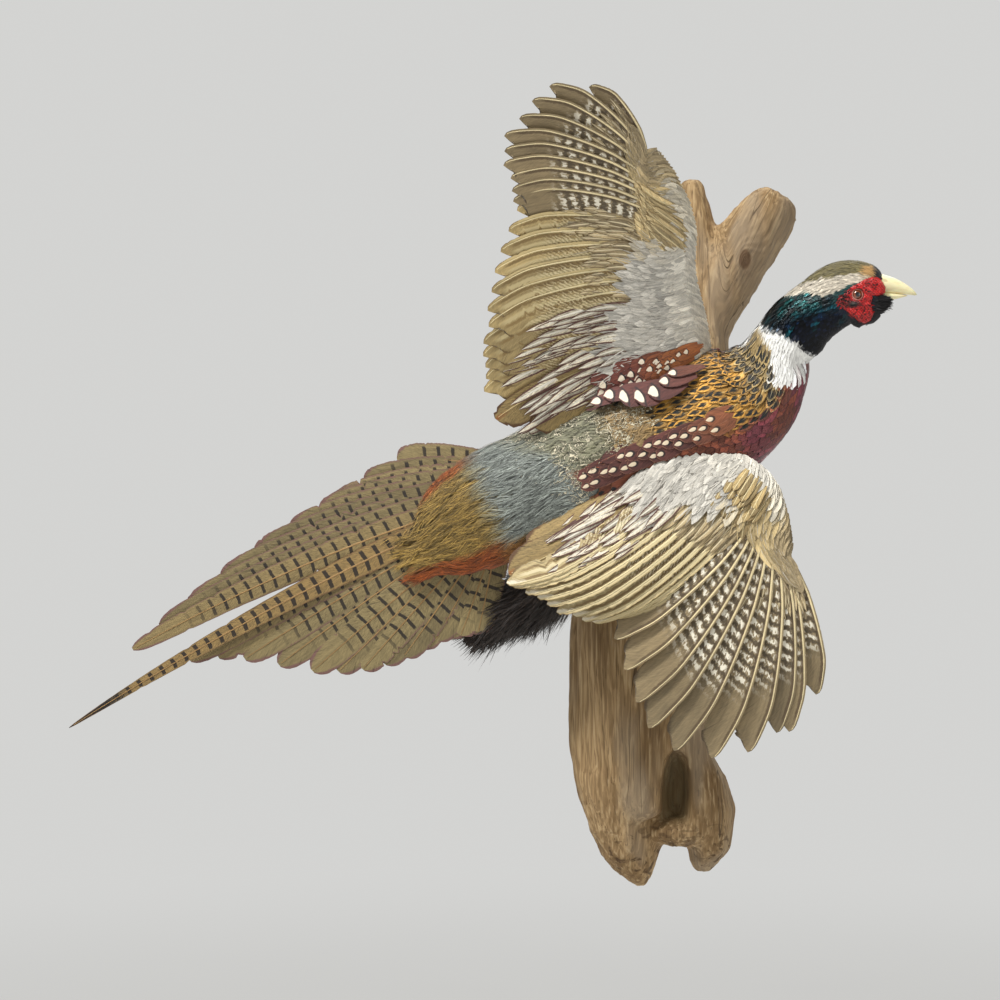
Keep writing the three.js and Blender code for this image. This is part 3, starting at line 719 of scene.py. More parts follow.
def lay_on_body(coat, seen, length, width, rows, cols, shape, depth, rise, drift=0.0, curl=0.0, patch=(0.003, 0.003),
                shade=0.08, colours=plumage, cup=1.0, seen_at=0.72, roll=0.0):
    """Feathers over the body. seen: the places (s, a) where they show. depth: how far under the surface their
    roots are, and rise how far over it their tips are, in mm. drift turns them to the bird's left, in radians."""
    s, a = seen.T
    count = len(s)
    length = np.broadcast_to(length, count) * vary(count, 0.12)
    width = np.broadcast_to(width, count) * vary(count, 0.12)
    drift = np.broadcast_to(drift, count) + dice.normal(0, 0.05, count)
    share = np.linspace(0, 1, rows)
    near = on_body(s, a)[0]
    per_degree = np.maximum(np.linalg.norm(on_body(s, a + 1)[0] - near, axis=1), 0.15)
    root_s = s + seen_at * length * np.cos(drift)
    root_a = a - seen_at * length * np.sin(drift) / per_degree
    at_s = root_s[:, None] - (length * np.cos(drift))[:, None] * share
    at_a = root_a[:, None] + (length * np.sin(drift) / per_degree)[:, None] * share
    tip = np.broadcast_to(rise, count) + dice.uniform(-0.35, 0.35, count)
    depth = np.broadcast_to(depth, count)
    height = -depth[:, None] + (tip + depth)[:, None] * share ** 0.8 + curl * share ** 3
    centre, up = on_body(at_s, at_a, height)
    half = width[:, None] / 2 * outline(shape, rows)
    tint = colours(s, a, near) * vary((count, 1), shade)
    radius = girth(float(np.mean(s))) / (2 * math.pi)
    coat.add(centre, up, half, half, cols, tint, body_uv(root_s, root_a), patch, cup / (2 * radius), roll)


# ---- The skin ---------------------------------------------------------------------------------------------

ARM_PARTS = ("upper_arm", "forearm", "hand")
FLESH = ["head", "neck", "trunk", "leg_left_thigh", "leg_right_thigh"]
FLESH += [f"wing_{side}_{part}" for side in WINGS for part in ARM_PARTS]


def copies(nodes):
    """The points, in mm, and faces of copies of CAD nodes, joined."""
    points, faces = [], []
    for node in nodes:
        mesh = bpy.data.objects[node].data
        first = sum(len(p) for p in points)
        points.append(np.array([v.co for v in mesh.vertices]) / MM)
        faces += [[first + i for i in polygon.vertices] for polygon in mesh.polygons]
    return np.concatenate(points), faces


def tree(nodes):
    points, faces = copies(nodes)
    return BVHTree.FromPolygons([Vector(p) for p in points], faces)


def applied(piece, *modifiers):
    """Adds modifiers with their settings and applies them."""
    for kind, settings in modifiers:
        modifier = piece.modifiers.new(kind.lower(), kind)
        for key, value in settings.items():
            setattr(modifier, key, value)
    shaped = piece.evaluated_get(bpy.context.evaluated_depsgraph_get())
    mesh = bpy.data.meshes.new_from_object(shaped)
    piece.modifiers.clear()
    piece.data = mesh
    return mesh


def coordinates(mesh):
    flat = np.empty(len(mesh.vertices) * 3, np.float32)
    mesh.vertices.foreach_get("co", flat)
    return flat.reshape(-1, 3).astype(float) / MM


def normals(mesh):
    flat = np.empty(len(mesh.vertices) * 3, np.float32)
    mesh.vertices.foreach_get("normal", flat)
    return flat.reshape(-1, 3).astype(float)


def set_coordinates(mesh, points):
    mesh.vertices.foreach_set("co", (points * MM).ravel().astype(np.float32))
    mesh.update()


def solid_piece(name, nodes, *modifiers, lumps=()):
    """A piece from CAD nodes, and from round lumps, each with its centre and its three radii."""
    points, faces = copies(nodes)
    turn = np.linspace(0, math.pi, 24)
    ball, quads = revolve(np.stack([np.sin(turn), np.cos(turn)], 1), np.zeros(3), (0, 0, 1), (1, 0, 0), 36)
    for centre, radii in lumps:
        faces += (quads + len(points)).tolist()
        points = np.concatenate([points, ball * radii + centre])
    mesh = bpy.data.meshes.new(name)
    mesh.from_pydata((points * MM).tolist(), [], faces)
    piece = bpy.data.objects.new(name, mesh)
    bpy.context.scene.collection.objects.link(piece)
    applied(piece, *modifiers)
    return piece


def body_coordinates(points):
    """The place along and round the body that is nearest to each point."""
    line = BODY_ROWS[:, :3]
    knots = BODY_S
    dense = np.linspace(BODY_S[1], BODY_LENGTH, 250)
    rows = interpolate(dense, knots, BODY_ROWS)
    gap = ((points[:, None] - rows[None, :, :3]) ** 2).sum(-1)
    best = gap.argmin(1)
    rel = points - rows[best, :3]
    x = (rel * rows[best, 3:6]).sum(1) / rows[best, 9]
    y = (rel * rows[best, 6:9]).sum(1)
    y = y / np.where(y > 0, rows[best, 10], rows[best, 11])
    return dense[best], np.degrees(np.arctan2(x, y))


def add_skin():
    remesh = ("REMESH", {"mode": "VOXEL", "voxel_size": 0.0028})
    skin = solid_piece("skin", FLESH, remesh, ("SMOOTH", {"iterations": 4, "factor": 0.5}))
    mesh = skin.data
    points = coordinates(mesh)
    s, a = np.empty(len(points)), np.empty(len(points))
    for part in np.array_split(np.arange(len(points)), 20):
        s[part], a[part] = body_coordinates(points[part])
    depth = np.interp(s, [0, 60, 330, 380, 430, 495], [1.8, 3.2, 3.4, 2.6, 1.2, 0.8])
    arms = tree([f"wing_{side}_{part}" for side in WINGS for part in ARM_PARTS])
    trunk = tree(["trunk", "neck", "head"])
    on_arm = np.array([arms.find_nearest(Vector(p))[3] < trunk.find_nearest(Vector(p))[3] for p in points])
    depth = np.where(on_arm, 1.2, depth + slimmed(s, a))
    shaped = points - normals(mesh) * depth[:, None]
    # The bill's root is bare of feathers, so the head is drawn in there.
    root = smooth(145.0, 148.0, shaped[:, 0]) * smooth(73.5, 76.0, shaped[:, 2])
    middle = np.array((146.0, -220.0, 84.0))
    shaped = mix(shaped, middle + (shaped - middle) * (0.25, 0.45, 0.45), root[:, None])
    chin = smooth(143.0, 151.0, shaped[:, 0]) * smooth(68.0, 61.0, shaped[:, 2])
    middle = np.array((140.0, -220.0, 67.0))
    shaped = mix(shaped, middle + (shaped - middle) * 0.45, chin[:, None])
    set_coordinates(mesh, shaped)
    # The plumage's colours at 0.72 are painted shade, darker where the skin shows between the feathers.
    tint = plumage(s, a, points) * 0.72
    tint[on_arm] = np.array((150, 140, 120))
    tint = np.hstack([linear(tint), np.ones((len(points), 1))])
    mesh.attributes.new("tint", "FLOAT_COLOR", "POINT").data.foreach_set("color", tint.ravel().astype(np.float32))
    m = Shader("skin")
    down = m.noise(m.place((1, 1, 1)), 0.9, 4.0)
    colour = m.shade(Wire(m, m.attribute("tint").outputs["Color"]), 0.6 + down * 0.7)
    mesh.materials.clear()
    mesh.materials.append(m.finish(colour, 0.85, down, 0.6, 0.001))
    mesh.polygons.foreach_set("use_smooth", np.ones(len(mesh.polygons), bool))
    settle(skin, FLESH, "plumage")


# ---- Body feathers ----------------------------------------------------------------------------------------

def away_from_middle(s, a):
    """Angle from the middle of the back, which is turned a little to the bird's left along the trunk."""
    return (a - 15 * smooth(400, 300, s) + 180) % 360 - 180


def mantle():
    drop = (0.83, (0.13, 0.38), (14, 19, 17), (14, 19, 17), 0.0)
    gold = feather_material("mantle_feathers", shaft=(222, 192, 128), shaft_width=0.5, shaft_taper=0.6, spot=drop,
                            edge=(74, 50, 22), edge_from=0.86, streak=0.9)
    wedge = (0.78, (0.14, 0.7), (26, 25, 20), (52, 40, 26), 0.0)
    dark = feather_material("back_feathers", spot=wedge, shaft=(214, 196, 152), shaft_width=0.12, shaft_taper=0.1,
                            edge=(196, 172, 120), edge_from=0.88, streak=0.8)
    coats = Coat("coat_mantle", gold), Coat("coat_back", dark)
    seen = rows_over(196, 386, 10.5, lambda row: 1.5 * girth(row), jitter=0.34)
    s, a = seen.T
    off = away_from_middle(s, a)
    low = -np.interp(s, [196, 240, 285, 310, 340], [22, 33, 38, 54, 62])
    high = np.interp(s, [196, 240, 275, 310], [14, 18, 46, 72])
    nape = (np.abs(a) < 32) & (s < 390)
    keep = (off > low) & (off < high) & ((s < ring_edges(a)[0] - 2) | nape)
    pale = ((s < 226) | (s > 342)) & keep
    lay_on_body(coats[0], seen[keep & ~pale], 32, 9.5, 11, 7, MANTLE, 3.4, 1.0, patch=(0.017, 0.017), shade=0.24, roll=0.07)
    lay_on_body(coats[1], seen[pale], 24, 9, 10, 7, MANTLE, 3.0, 1.0, patch=(0.015, 0.015), shade=0.25, roll=0.05)
    for coat in coats:
        coat.build()


def scapulars():
    """Chestnut feathers with pale ovals: a band each side of the back, the left one over the wing's root."""
    plain = feather_material("chestnut_feathers", edge=(66, 34, 32), edge_from=0.84, shaft=(140, 82, 62), streak=0.5)
    oval = (0.86, (0.105, 0.31), (226, 208, 178), (30, 24, 24), 0.0)
    long_ovals = feather_material("scapular_feathers", spot=oval, edge=(150, 106, 82), edge_from=0.9, streak=0.5)
    moon = (0.86, (0.13, 0.62), (236, 222, 198), (34, 28, 30), 0.5)
    moons = feather_material("shoulder_feathers", spot=moon, edge=(70, 36, 34), edge_from=0.9, streak=0.5)
    coats = [Coat("coat_chestnut", plain), Coat("coat_scapulars", long_ovals), Coat("coat_shoulder", moons)]
    seen = rows_over(150, 292, 10.0, girth)
    off = away_from_middle(*seen.T)
    keep = (off > -46) & (off < -29) & (seen[:, 0] > 160)
    marked = dice.random(len(seen)) < 0.92
    for coat, chosen in zip(coats, (keep & ~marked, keep & marked)):
        lay_on_body(coat, seen[chosen], 34, 14, 12, 9, ROUND, 1.0, 3.4, patch=(0.03, 0.03), colours=chestnut)
    keep = (off > 22) & (off < 60) & (seen[:, 0] > 190) & (seen[:, 0] < 246)
    lay_on_body(coats[0], seen[keep], 32, 13, 11, 9, ROUND, 1.0, 3.6, patch=(0.03, 0.03), colours=chestnut)
    # Columns over the left wing's root, each higher than the one outside it: place on the arm, and its start
    # and end behind the leading edge.
    wing = WINGS["left"]
    columns = ((0.128, 40, 76), (0.118, 10, 36), (0.1, 6, 32), (0.096, 30, 74), (0.083, 8, 36), (0.066, 14, 40),
               (0.062, 36, 70), (0.05, 24, 44), (0.03, 44, 62))
    for t, start, stop in columns:
        d = [start + dice.uniform(-1.5, 1.5)]
        while d[-1] < stop:
            d.append(d[-1] + np.interp(d[-1], [20, 45, 90], [5.5, 8.0, 10.5]) * dice.uniform(0.9, 1.1))
        d = np.array(d)
        share = np.interp(d, [10, 30, 50], [0.5, 0.65, 0.85]) * (0.5 if t > 0.11 else 1)
        marked = dice.random(len(d)) < share
        length, width = np.interp(d, [10, 45, 90], [20, 29, 35]), np.interp(d, [10, 45, 90], [7.5, 11.5, 15])
        for coat, chosen in ((coats[0], ~marked), (coats[2], marked)):
            lay_on_wing(coat, wing, np.full(chosen.sum(), t), d[chosen], length[chosen], width[chosen], 12, 9, ROUND,
                        rusty(d[chosen]), -2.0, 4.0 + 26 * (0.125 - t), patch=(0.03, 0.05))
    big = np.array([(197, 32), (209, 33), (220, 25), (233, 19), (246, 18), (258, 23), (268, 27)], float)
    lay_on_body(coats[2], big, 38, np.array([18, 22, 27, 28, 25, 18, 13]), 14, 11, ROUND, -5.0, 13.0, patch=(0.05, 0.05),
                colours=chestnut, seen_at=0.86)
    for coat in coats:
        coat.build()


def chestnut(s, a, place):
    base = np.broadcast_to(np.array((90, 50, 44), float), (*s.shape, 3))
    return blend(base, (132, 78, 50), smooth(250, 290, s))


def rusty(d):
    """The shoulder's chestnut, which turns to rust in front."""
    base = np.broadcast_to(np.array((104, 54, 44), float), (len(d), 3))
    return blend(base, (150, 88, 44), smooth(56, 16, d))


def breast():
    copper = feather_material("breast_feathers", edge=(74, 30, 38), edge_from=0.84, streak=0.7, gloss=0.4, sheen=0.35,
                              metal=0.2)
    coat = Coat("coat_breast", copper)
    seen = rows_over(258, 374, 7.4, girth)
    s, a = seen.T
    off = away_from_middle(s, a)
    low = -np.interp(s, [285, 310, 340], [40, 50, 58])
    keep = ((off < low) | (off > 60)) & (s < ring_edges(a)[0] + 4)
    lay_on_body(coat, seen[keep], 25, 11, 8, 7, ROUND, 3.4, 0.9, patch=(0.016, 0.016), shade=0.24, roll=0.04)
    coat.build()


def flanks():
    buff = feather_material("flank_feathers", tip=(26, 20, 22), tip_from=0.82, tip_bend=0.2, edge=(110, 70, 36),
                            edge_from=0.85, streak=0.45)
    coat = Coat("coat_flanks", buff)
    seen = rows_over(56, 268, 12, girth)
    s, a = seen.T
    off = np.abs(away_from_middle(s, a))
    keep = (off > 54) & (off < 132) & ((s > 120) | (off > 70))
    lay_on_body(coat, seen[keep], 38, 19, 10, 8, ROUND, 3.0, 1.0, patch=(0.024, 0.024))
    coat.build()


def belly():
    dark = feather_material("belly_feathers", edge=(64, 44, 30), edge_from=0.7, streak=0.35)
    coat = Coat("coat_belly", dark)
    seen = rows_over(30, 330, 11, girth)
    off = np.abs(away_from_middle(*seen.T))
    lay_on_body(coat, seen[off > 118], 32, 15, 8, 6, ROUND, 3.0, 0.6)
    coat.build()


def barbs(seen, count, spread_angle):
    """Each place repeated for the loose barbs of a plume, with the way each turns. Barbs keep to their clump."""
    many = np.repeat(seen, count, 0)
    clump = np.repeat(dice.normal(0, 0.16, len(seen)), count)
    turn = clump + dice.uniform(-spread_angle, spread_angle, len(many))
    return many + dice.normal(0, 1, many.shape) * (3.0, 2.4), turn


def rump():
    squiggle = ((212, 202, 172), (34, 32, 28))
    loose = feather_material("rump_plumes", squiggle=squiggle, streak=0.5, sheen=0.3)
    coat = Coat("coat_rump", loose)
    seen = rows_over(80, 236, 9.0, girth)
    s, a = seen.T
    off = away_from_middle(s, a)
    keep = (s + 0.7 * off > 114) & (off > -52 + np.clip(s - 150, 0, 40) * 0.55) & (off < 60) & ((s < 200) | (off < 14))
    lay_on_body(coat, seen[keep], 30, 17, 9, 9, ROUND, 2.6, 1.6, dice.normal(0, 0.2, keep.sum()), shade=0.16, roll=0.08)
    many, turn = barbs(seen[keep], 7, 0.5)
    lay_on_body(coat, many, 20, 1.5, 5, 2, HAIR, 1.6, 3.0, turn, shade=0.2)
    coat.build()
    hair = feather_material("rump_hair", streak=0.5, sheen=0.3)
    coat = Coat("coat_rump_hair", hair)
    seen = rows_over(-18, 138, 8.0, girth)
    s, a = seen.T
    off = away_from_middle(s, a)
    keep = (np.abs(off) < 92) & (s + 0.7 * np.clip(off, 0, 60) < 140)
    seen, off = seen[keep], off[keep]
    fan = np.radians(np.clip(off, -60, 60)) * -0.1
    lay_on_body(coat, seen, 38, 13, 8, 5, LANCE, 2.4, 0.6, fan, shade=0.24)
    many, turn = barbs(seen, 22, 0.3)
    lay_on_body(coat, many, 38, 1.1, 6, 2, HAIR, 1.6, 3.0, turn + np.repeat(fan, 22), shade=0.42, curl=1.4)
    coat.build()


def neck_and_head():
    white = feather_material("ring_feathers", streak=0.05, sheen=0.2, relief=0.15)
    coat = Coat("coat_ring", white)
    seen = rows_over(346, 404, 2.8, girth)
    s, a = seen.T
    start, end = ring_edges(a)
    keep = (s > start - 1) & (s < end + 1)
    lay_on_body(coat, seen[keep], 14, 4.6, 5, 4, LANCE, 2.0, 0.2, patch=(0.004, 0.004), shade=0.03)
    coat.build()
    gloss = feather_material("neck_feathers", streak=1.1, gloss=0.28, sheen=0.0, metal=0.5, edge=(10, 13, 17),
                             edge_from=0.78)
    coat = Coat("coat_neck", gloss)
    seen = rows_over(386, 470, 3.4, girth)
    s, a = seen.T
    keep = (s > ring_edges(a)[1] - 1) & (s < 446)
    x, z = (on_body(s, a)[0][:, [0, 2]] - EYES["right"][[0, 2]]).T
    brow = keep & (z > np.interp(x, *BROW_FOOT.T) - 1.5) & (x > -58)
    lay_on_body(coat, seen[keep & ~brow], 10, 5.4, 5, 5, ROUND, 1.4, 0.8, patch=(0.005, 0.005), shade=0.6, roll=0.12)
    coat.build()
    browed = seen[brow]
    short = feather_material("head_feathers", streak=0.3, gloss=0.55, sheen=0.1)
    coat = Coat("coat_head", short)
    seen = rows_over(440, 499, 2.0, girth)
    place = on_body(*seen.T)[0]
    x, z = (place[:, [0, 2]] - EYES["right"][[0, 2]]).T
    bare = (inside(np.stack([x, z], 1), FACE) > 0.4) | ((x > 19.5) & (z > -1.5)) | ((x > 17) & (z < -12))
    lay_on_body(coat, seen[~bare], 7, 2.2, 4, 3, LANCE, 0.8, 0.3, shade=0.14, seen_at=0.6)
    lay_on_body(coat, np.repeat(browed, 2, 0) + dice.normal(0, 1.2, (2 * len(browed), 2)), 9, 3.0, 4, 3, LANCE, 1.2, 0.7,
                shade=0.12)
    coat.build()


# ---- Wing coverts -----------------------------------------------------------------------------------------

GREY_COVERT = (190, 185, 174)
PALE_COVERT = (214, 208, 194)
BUFF_COVERT = (190, 168, 122)
BROWN_COVERT = (166, 148, 112)
HAND_COVERT = (162, 144, 110)
STRIPED = (184, 174, 152)


def drape(wing, points, over):
    """Points moved along over, to the face of the wing's arm where they lie above or below it."""
    flat = points.reshape(-1, 3)
    lifted = flat.copy()
    for i, p in enumerate(flat):
        hit = wing["tree"].ray_cast(Vector(p + over * 50), Vector(-over), 100)[0]
        if hit is not None:
            rise = float(np.dot(np.array(hit) - p, over))
            lifted[i] = p + over * max(rise, 0.0)
    return lifted.reshape(points.shape)


def lay_on_wing(coat, wing, t, d, length, width, rows, cols, shape, colour, depth=1.4, rise=1.2, under=False,
                patch=(0.003, 0.003), shade=0.08, turn=0.0):
    count = len(t)
    share = np.linspace(0, 1, rows)
    length = np.broadcast_to(length, count) * vary(count, 0.08)
    width = np.broadcast_to(width, count) * vary(count, 0.1)
    turn = np.broadcast_to(turn, count) + dice.normal(0, 0.05, count)
    at = d[:, None] + (length * np.cos(turn))[:, None] * share
    span = 1.0 / np.linalg.norm(np.diff(catmull(wing["lead"], np.linspace(0, 1, 40)), axis=0), axis=1).sum()
    points = flow(wing, t[:, None] + (length * np.sin(turn) * span)[:, None] * share, at)
    over = unit(np.array(wing["normal"])) * (-1 if under else 1)
    points = drape(wing, points, over)
    lift = (points * over).sum(-1)
    soft = lift.copy()
    soft[:, 1:-1] = (lift[:, :-2] + lift[:, 1:-1] + lift[:, 2:]) / 3
    tip = rise + dice.uniform(-0.3, 0.3, count)
    height = soft - lift - depth + (tip + depth)[:, None] * share ** 0.8
    centre = points + over * height[..., None]
    up = np.broadcast_to(over, centre.shape)
    half = width[:, None] / 2 * outline(shape, rows)
    tint = np.asarray(colour, float) * vary((count, 1), shade)
    uv = np.stack([0.02 + 0.92 * t, 0.03 + 0.8 * np.clip(d / 170, 0, 1)], 1)
    coat.add(centre, up, half, half, cols, np.broadcast_to(tint, (count, 3)), uv, patch, 0.012,
             dice.normal(0.03, 0.02, count))


def spread(wing, t_from, t_to, share, spacing, jitter=0.15):
    """Places of one row of coverts, at a share of the chord."""
    arc = np.linalg.norm(catmull(wing["lead"], np.array([t_from])) - catmull(wing["lead"], np.array([t_to])))
    count = max(2, round(float(arc) / spacing))
    t = t_from + (t_to - t_from) * (np.arange(count) + 0.5 + jitter * dice.uniform(-1, 1, count)) / count
    return t, share * chord_of(wing, t)


def covert_colour(t, share):
    """Grey over the shoulder and forearm, buff on the hand, and pale along the leading edge."""
    colour = np.broadcast_to(np.array(GREY_COVERT, float), (len(t), 3))
    t = t + dice.normal(0, 0.03, len(t))
    colour = blend(colour, BUFF_COVERT, smooth(0.5, 0.62, t))
    colour = blend(colour, HAND_COVERT, smooth(0.72, 0.84, t))
    return blend(colour, PALE_COVERT, 0.8 * (share < 0.1) * smooth(0.8, 0.7, t))


def wing_coverts(side, wing, grey, buff, brown, long_ones):
    # Small coverts, from the leading edge back: close and short in front, long and silky behind.
    coat = Coat(f"coat_wing_{side}_lesser", grey, "wing_coverts")
    for k, share in enumerate(np.arange(0.02, 0.62, 0.05)):
        t, d = spread(wing, 0.0, 0.985, share, 5.4)
        t = np.clip(t + (k % 2) * 0.011, 0, 1)
        hand = smooth(0.5, 0.66, t)
        last = np.interp(t, [0, 0.2, 0.3, 0.34, 0.4, 0.5, 0.6, 0.8, 1], [0.6, 0.62, 0.5, 0.3, 0.38, 0.36, 0.24, 0.4, 0.4])
        keep = share < last + dice.normal(0, 0.025, len(t))
        length = (20 + 50 * share) * (1 - 0.2 * hand)
        turn = 0.12 + 0.75 * hand * smooth(1.15, 0.8, t)
        colour = covert_colour(t, share)
        lay_on_wing(coat, wing, t[keep], d[keep], length[keep], 9.5, 9, 5, SILK, colour[keep], 1.2, 1.5 + 5 * share,
                    shade=0.14, turn=turn[keep])
        many = np.repeat(np.flatnonzero(keep), 2)
        lay_on_wing(coat, wing, np.clip(t[many] + dice.normal(0, 0.012, len(many)), 0, 1),
                    d[many] + dice.uniform(0, 8, len(many)), length[many], 1.3, 6, 2, HAIR, colour[many], 0.2,
                    2.0 + 5 * share, shade=0.12, turn=turn[many] + dice.normal(0, 0.1, len(many)))
    # The leading edge's own small feathers run out along it.
    for share in (0.0, 0.02, 0.045):
        t, d = spread(wing, 0.0, 0.95, share, 4.0)
        lay_on_wing(coat, wing, t, d, 15 + 12 * smooth(0.5, 0.7, t), 6, 6, 4, LANCE, covert_colour(t, 0.0), 0.8, 0.8,
                    shade=0.1, turn=1.1 - 0.5 * smooth(0.8, 1.0, t))
    coat.build()
    coat = Coat(f"coat_wing_{side}_alula", buff, "wing_coverts")
    first, last, reach, turn = (0.46, 0.66, 1.0, 0.95) if side == "left" else (0.4, 0.66, 0.6, 0.35)
    for share, length, rise in ((0.3, 40, 2.0), (0.22, 42, 2.0), (0.14, 48, 3.0), (0.06, 52, 4.0)):
        t, d = spread(wing, first, last, share, 5.0)
        # The right alula's buff is a darker copy of the left one's: painted shade.
        colour = BUFF_COVERT if side == "left" else (160, 138, 94)
        lay_on_wing(coat, wing, t, d, length * reach, 8, 12, 7, ROUND, colour, 0.6, rise, patch=(0.02, 0.04), turn=turn,
                    shade=0.2)
    coat.build()
    coat = Coat(f"coat_wing_{side}_greater", brown, "wing_coverts")
    for share, length in ((0.4, 46), (0.5, 48), (0.6, 48)) + (((0.66, 42), (0.74, 40)) if side == "right" else ()):
        t, d = spread(wing, 0.3, 0.7, share, 4.6)
        lay_on_wing(coat, wing, t, d, length, 7, 12, 7, SILK, BROWN_COVERT, 1.2, 2.2, patch=(0.02, 0.05), shade=0.2)
    for share, length in ((0.26, 34), (0.38, 36), (0.5, 38), (0.64, 42), (0.78, 42), (0.92, 40)):
        t, d = spread(wing, 0.58, 0.99, share, 3.8)
        lay_on_wing(coat, wing, t, d, length, 6.4, 10, 6, LANCE, BROWN_COVERT, 1.0, 1.6, patch=(0.015, 0.04), shade=0.2)
    coat.build()
    coat = Coat(f"coat_wing_{side}_long", long_ones, "wing_coverts")
    for share, length, last in ((0.42, 62, 0.34), (0.54, 66, 0.35), (0.66, 70, 0.36), (0.78, 74, 0.34), (0.9, 76, 0.3),
                                (1.02, 76, 0.26)):
        t, d = spread(wing, 0.0, last, share, 5.4)
        lay_on_wing(coat, wing, t, d, length, 8.5, 14, 7, SILK, STRIPED, 3.0, 2.8 + 3.4 * smooth(0.12, 0.2, t),
                    patch=(0.03, 0.06), shade=0.22)
    coat.build()
    coat = Coat(f"coat_wing_{side}_under", grey, "wing_coverts")
    for k, share in enumerate(np.arange(0.02, 0.95, 0.075)):
        t, d = spread(wing, 0.02, 0.985, share, 8.5)
        colour = blend(np.broadcast_to(np.array(STRIPED, float), (len(t), 3)), BROWN_COVERT, np.full(len(t), share * 0.6))
        length = (26 + 26 * share) * (0.6 + 0.4 * smooth(1, 0.7, t))
        lay_on_wing(coat, wing, t, d, length, 13, 7, 5, ROUND, colour, 1.0, 1.0, True)
    coat.build()


# ---- Flight feathers and tail -----------------------------------------------------------------------------

BLADE_AT = [0, 0.12, 0.3, 0.6, 0.82, 0.92, 0.96, 0.985, 1]
BLADE_ROUND = [0.25, 0.8, 1.08, 1.12, 1.1, 1.0, 0.87, 0.64, 0.22]
BLADE_FINE = [0.5, 0.8, 0.95, 0.62, 0.34, 0.2, 0.13, 0.08, 0.02]


def vanes(coat, shafts, lines, normal, lead, front, rear, off, lift, rows, cols, fine, colours, uv_box, fray,
          shaft_colour, slit_depth=0.3):
    """A fan of long feathers. Each vane is slit here and there along its edges, and its shaft stands on it, off
    mm before the middle of the vane's own curve."""
    root, middle, tip = lines
    count = len(root)
    share = np.linspace(0, 1, rows)
    centre = bezier(root[:, None], middle[:, None], tip[:, None], share[None, :, None])
    way = unit(np.gradient(centre, axis=1))
    up = unit(normal - way * (way * normal).sum(-1, keepdims=True))
    forward = np.cross(up, way)
    ahead = (forward[:, rows // 2] * lead).sum() > 0
    front, rear, off = front - off, rear + off, off if ahead else -off
    if not ahead:
        front, rear = rear, front
    width = mix(np.interp(share, BLADE_AT, BLADE_ROUND), np.interp(share, BLADE_AT, BLADE_FINE), fine[:, None])
    sag = 0.8 * off * smooth(0.72, 1, share)  # the tip bends back, so that it ends in the vane's middle
    centre = centre + up * np.reshape(lift, (-1, 1, 1)) + forward * (off * width - sag)[..., None]
    slits = []
    for _ in range(2):
        slit = (dice.random((count, rows)) < fray) & (share > 0.35)
        slits.append(width * (1 - slit * dice.uniform(0.06, slit_depth, (count, rows))) * vary((count, rows), 0.02))
    uv = uv_box(np.arange(count))
    tilt = 0.05 if ahead else -0.05
    coat.add(centre, up, slits[0] * rear, slits[1] * front, cols, colours, uv[0], uv[1], 0.004, np.full(count, tilt),
             not ahead)
    thin = mix(1.5, 0.4, share)[None, :] * np.ones((count, 1))
    tint = np.broadcast_to(np.asarray(shaft_colour, float), (count, 3))
    for face in (1, -1):
        ridge = centre[:, ::2] + up[:, ::2] * (0.45 * face)
        half = (thin * 0.7)[:, ::2]
        shafts.add(ridge, up[:, ::2] * face, half, half, 3, tint, uv[0], (0.003, 0.003), 0.45 / half.mean())


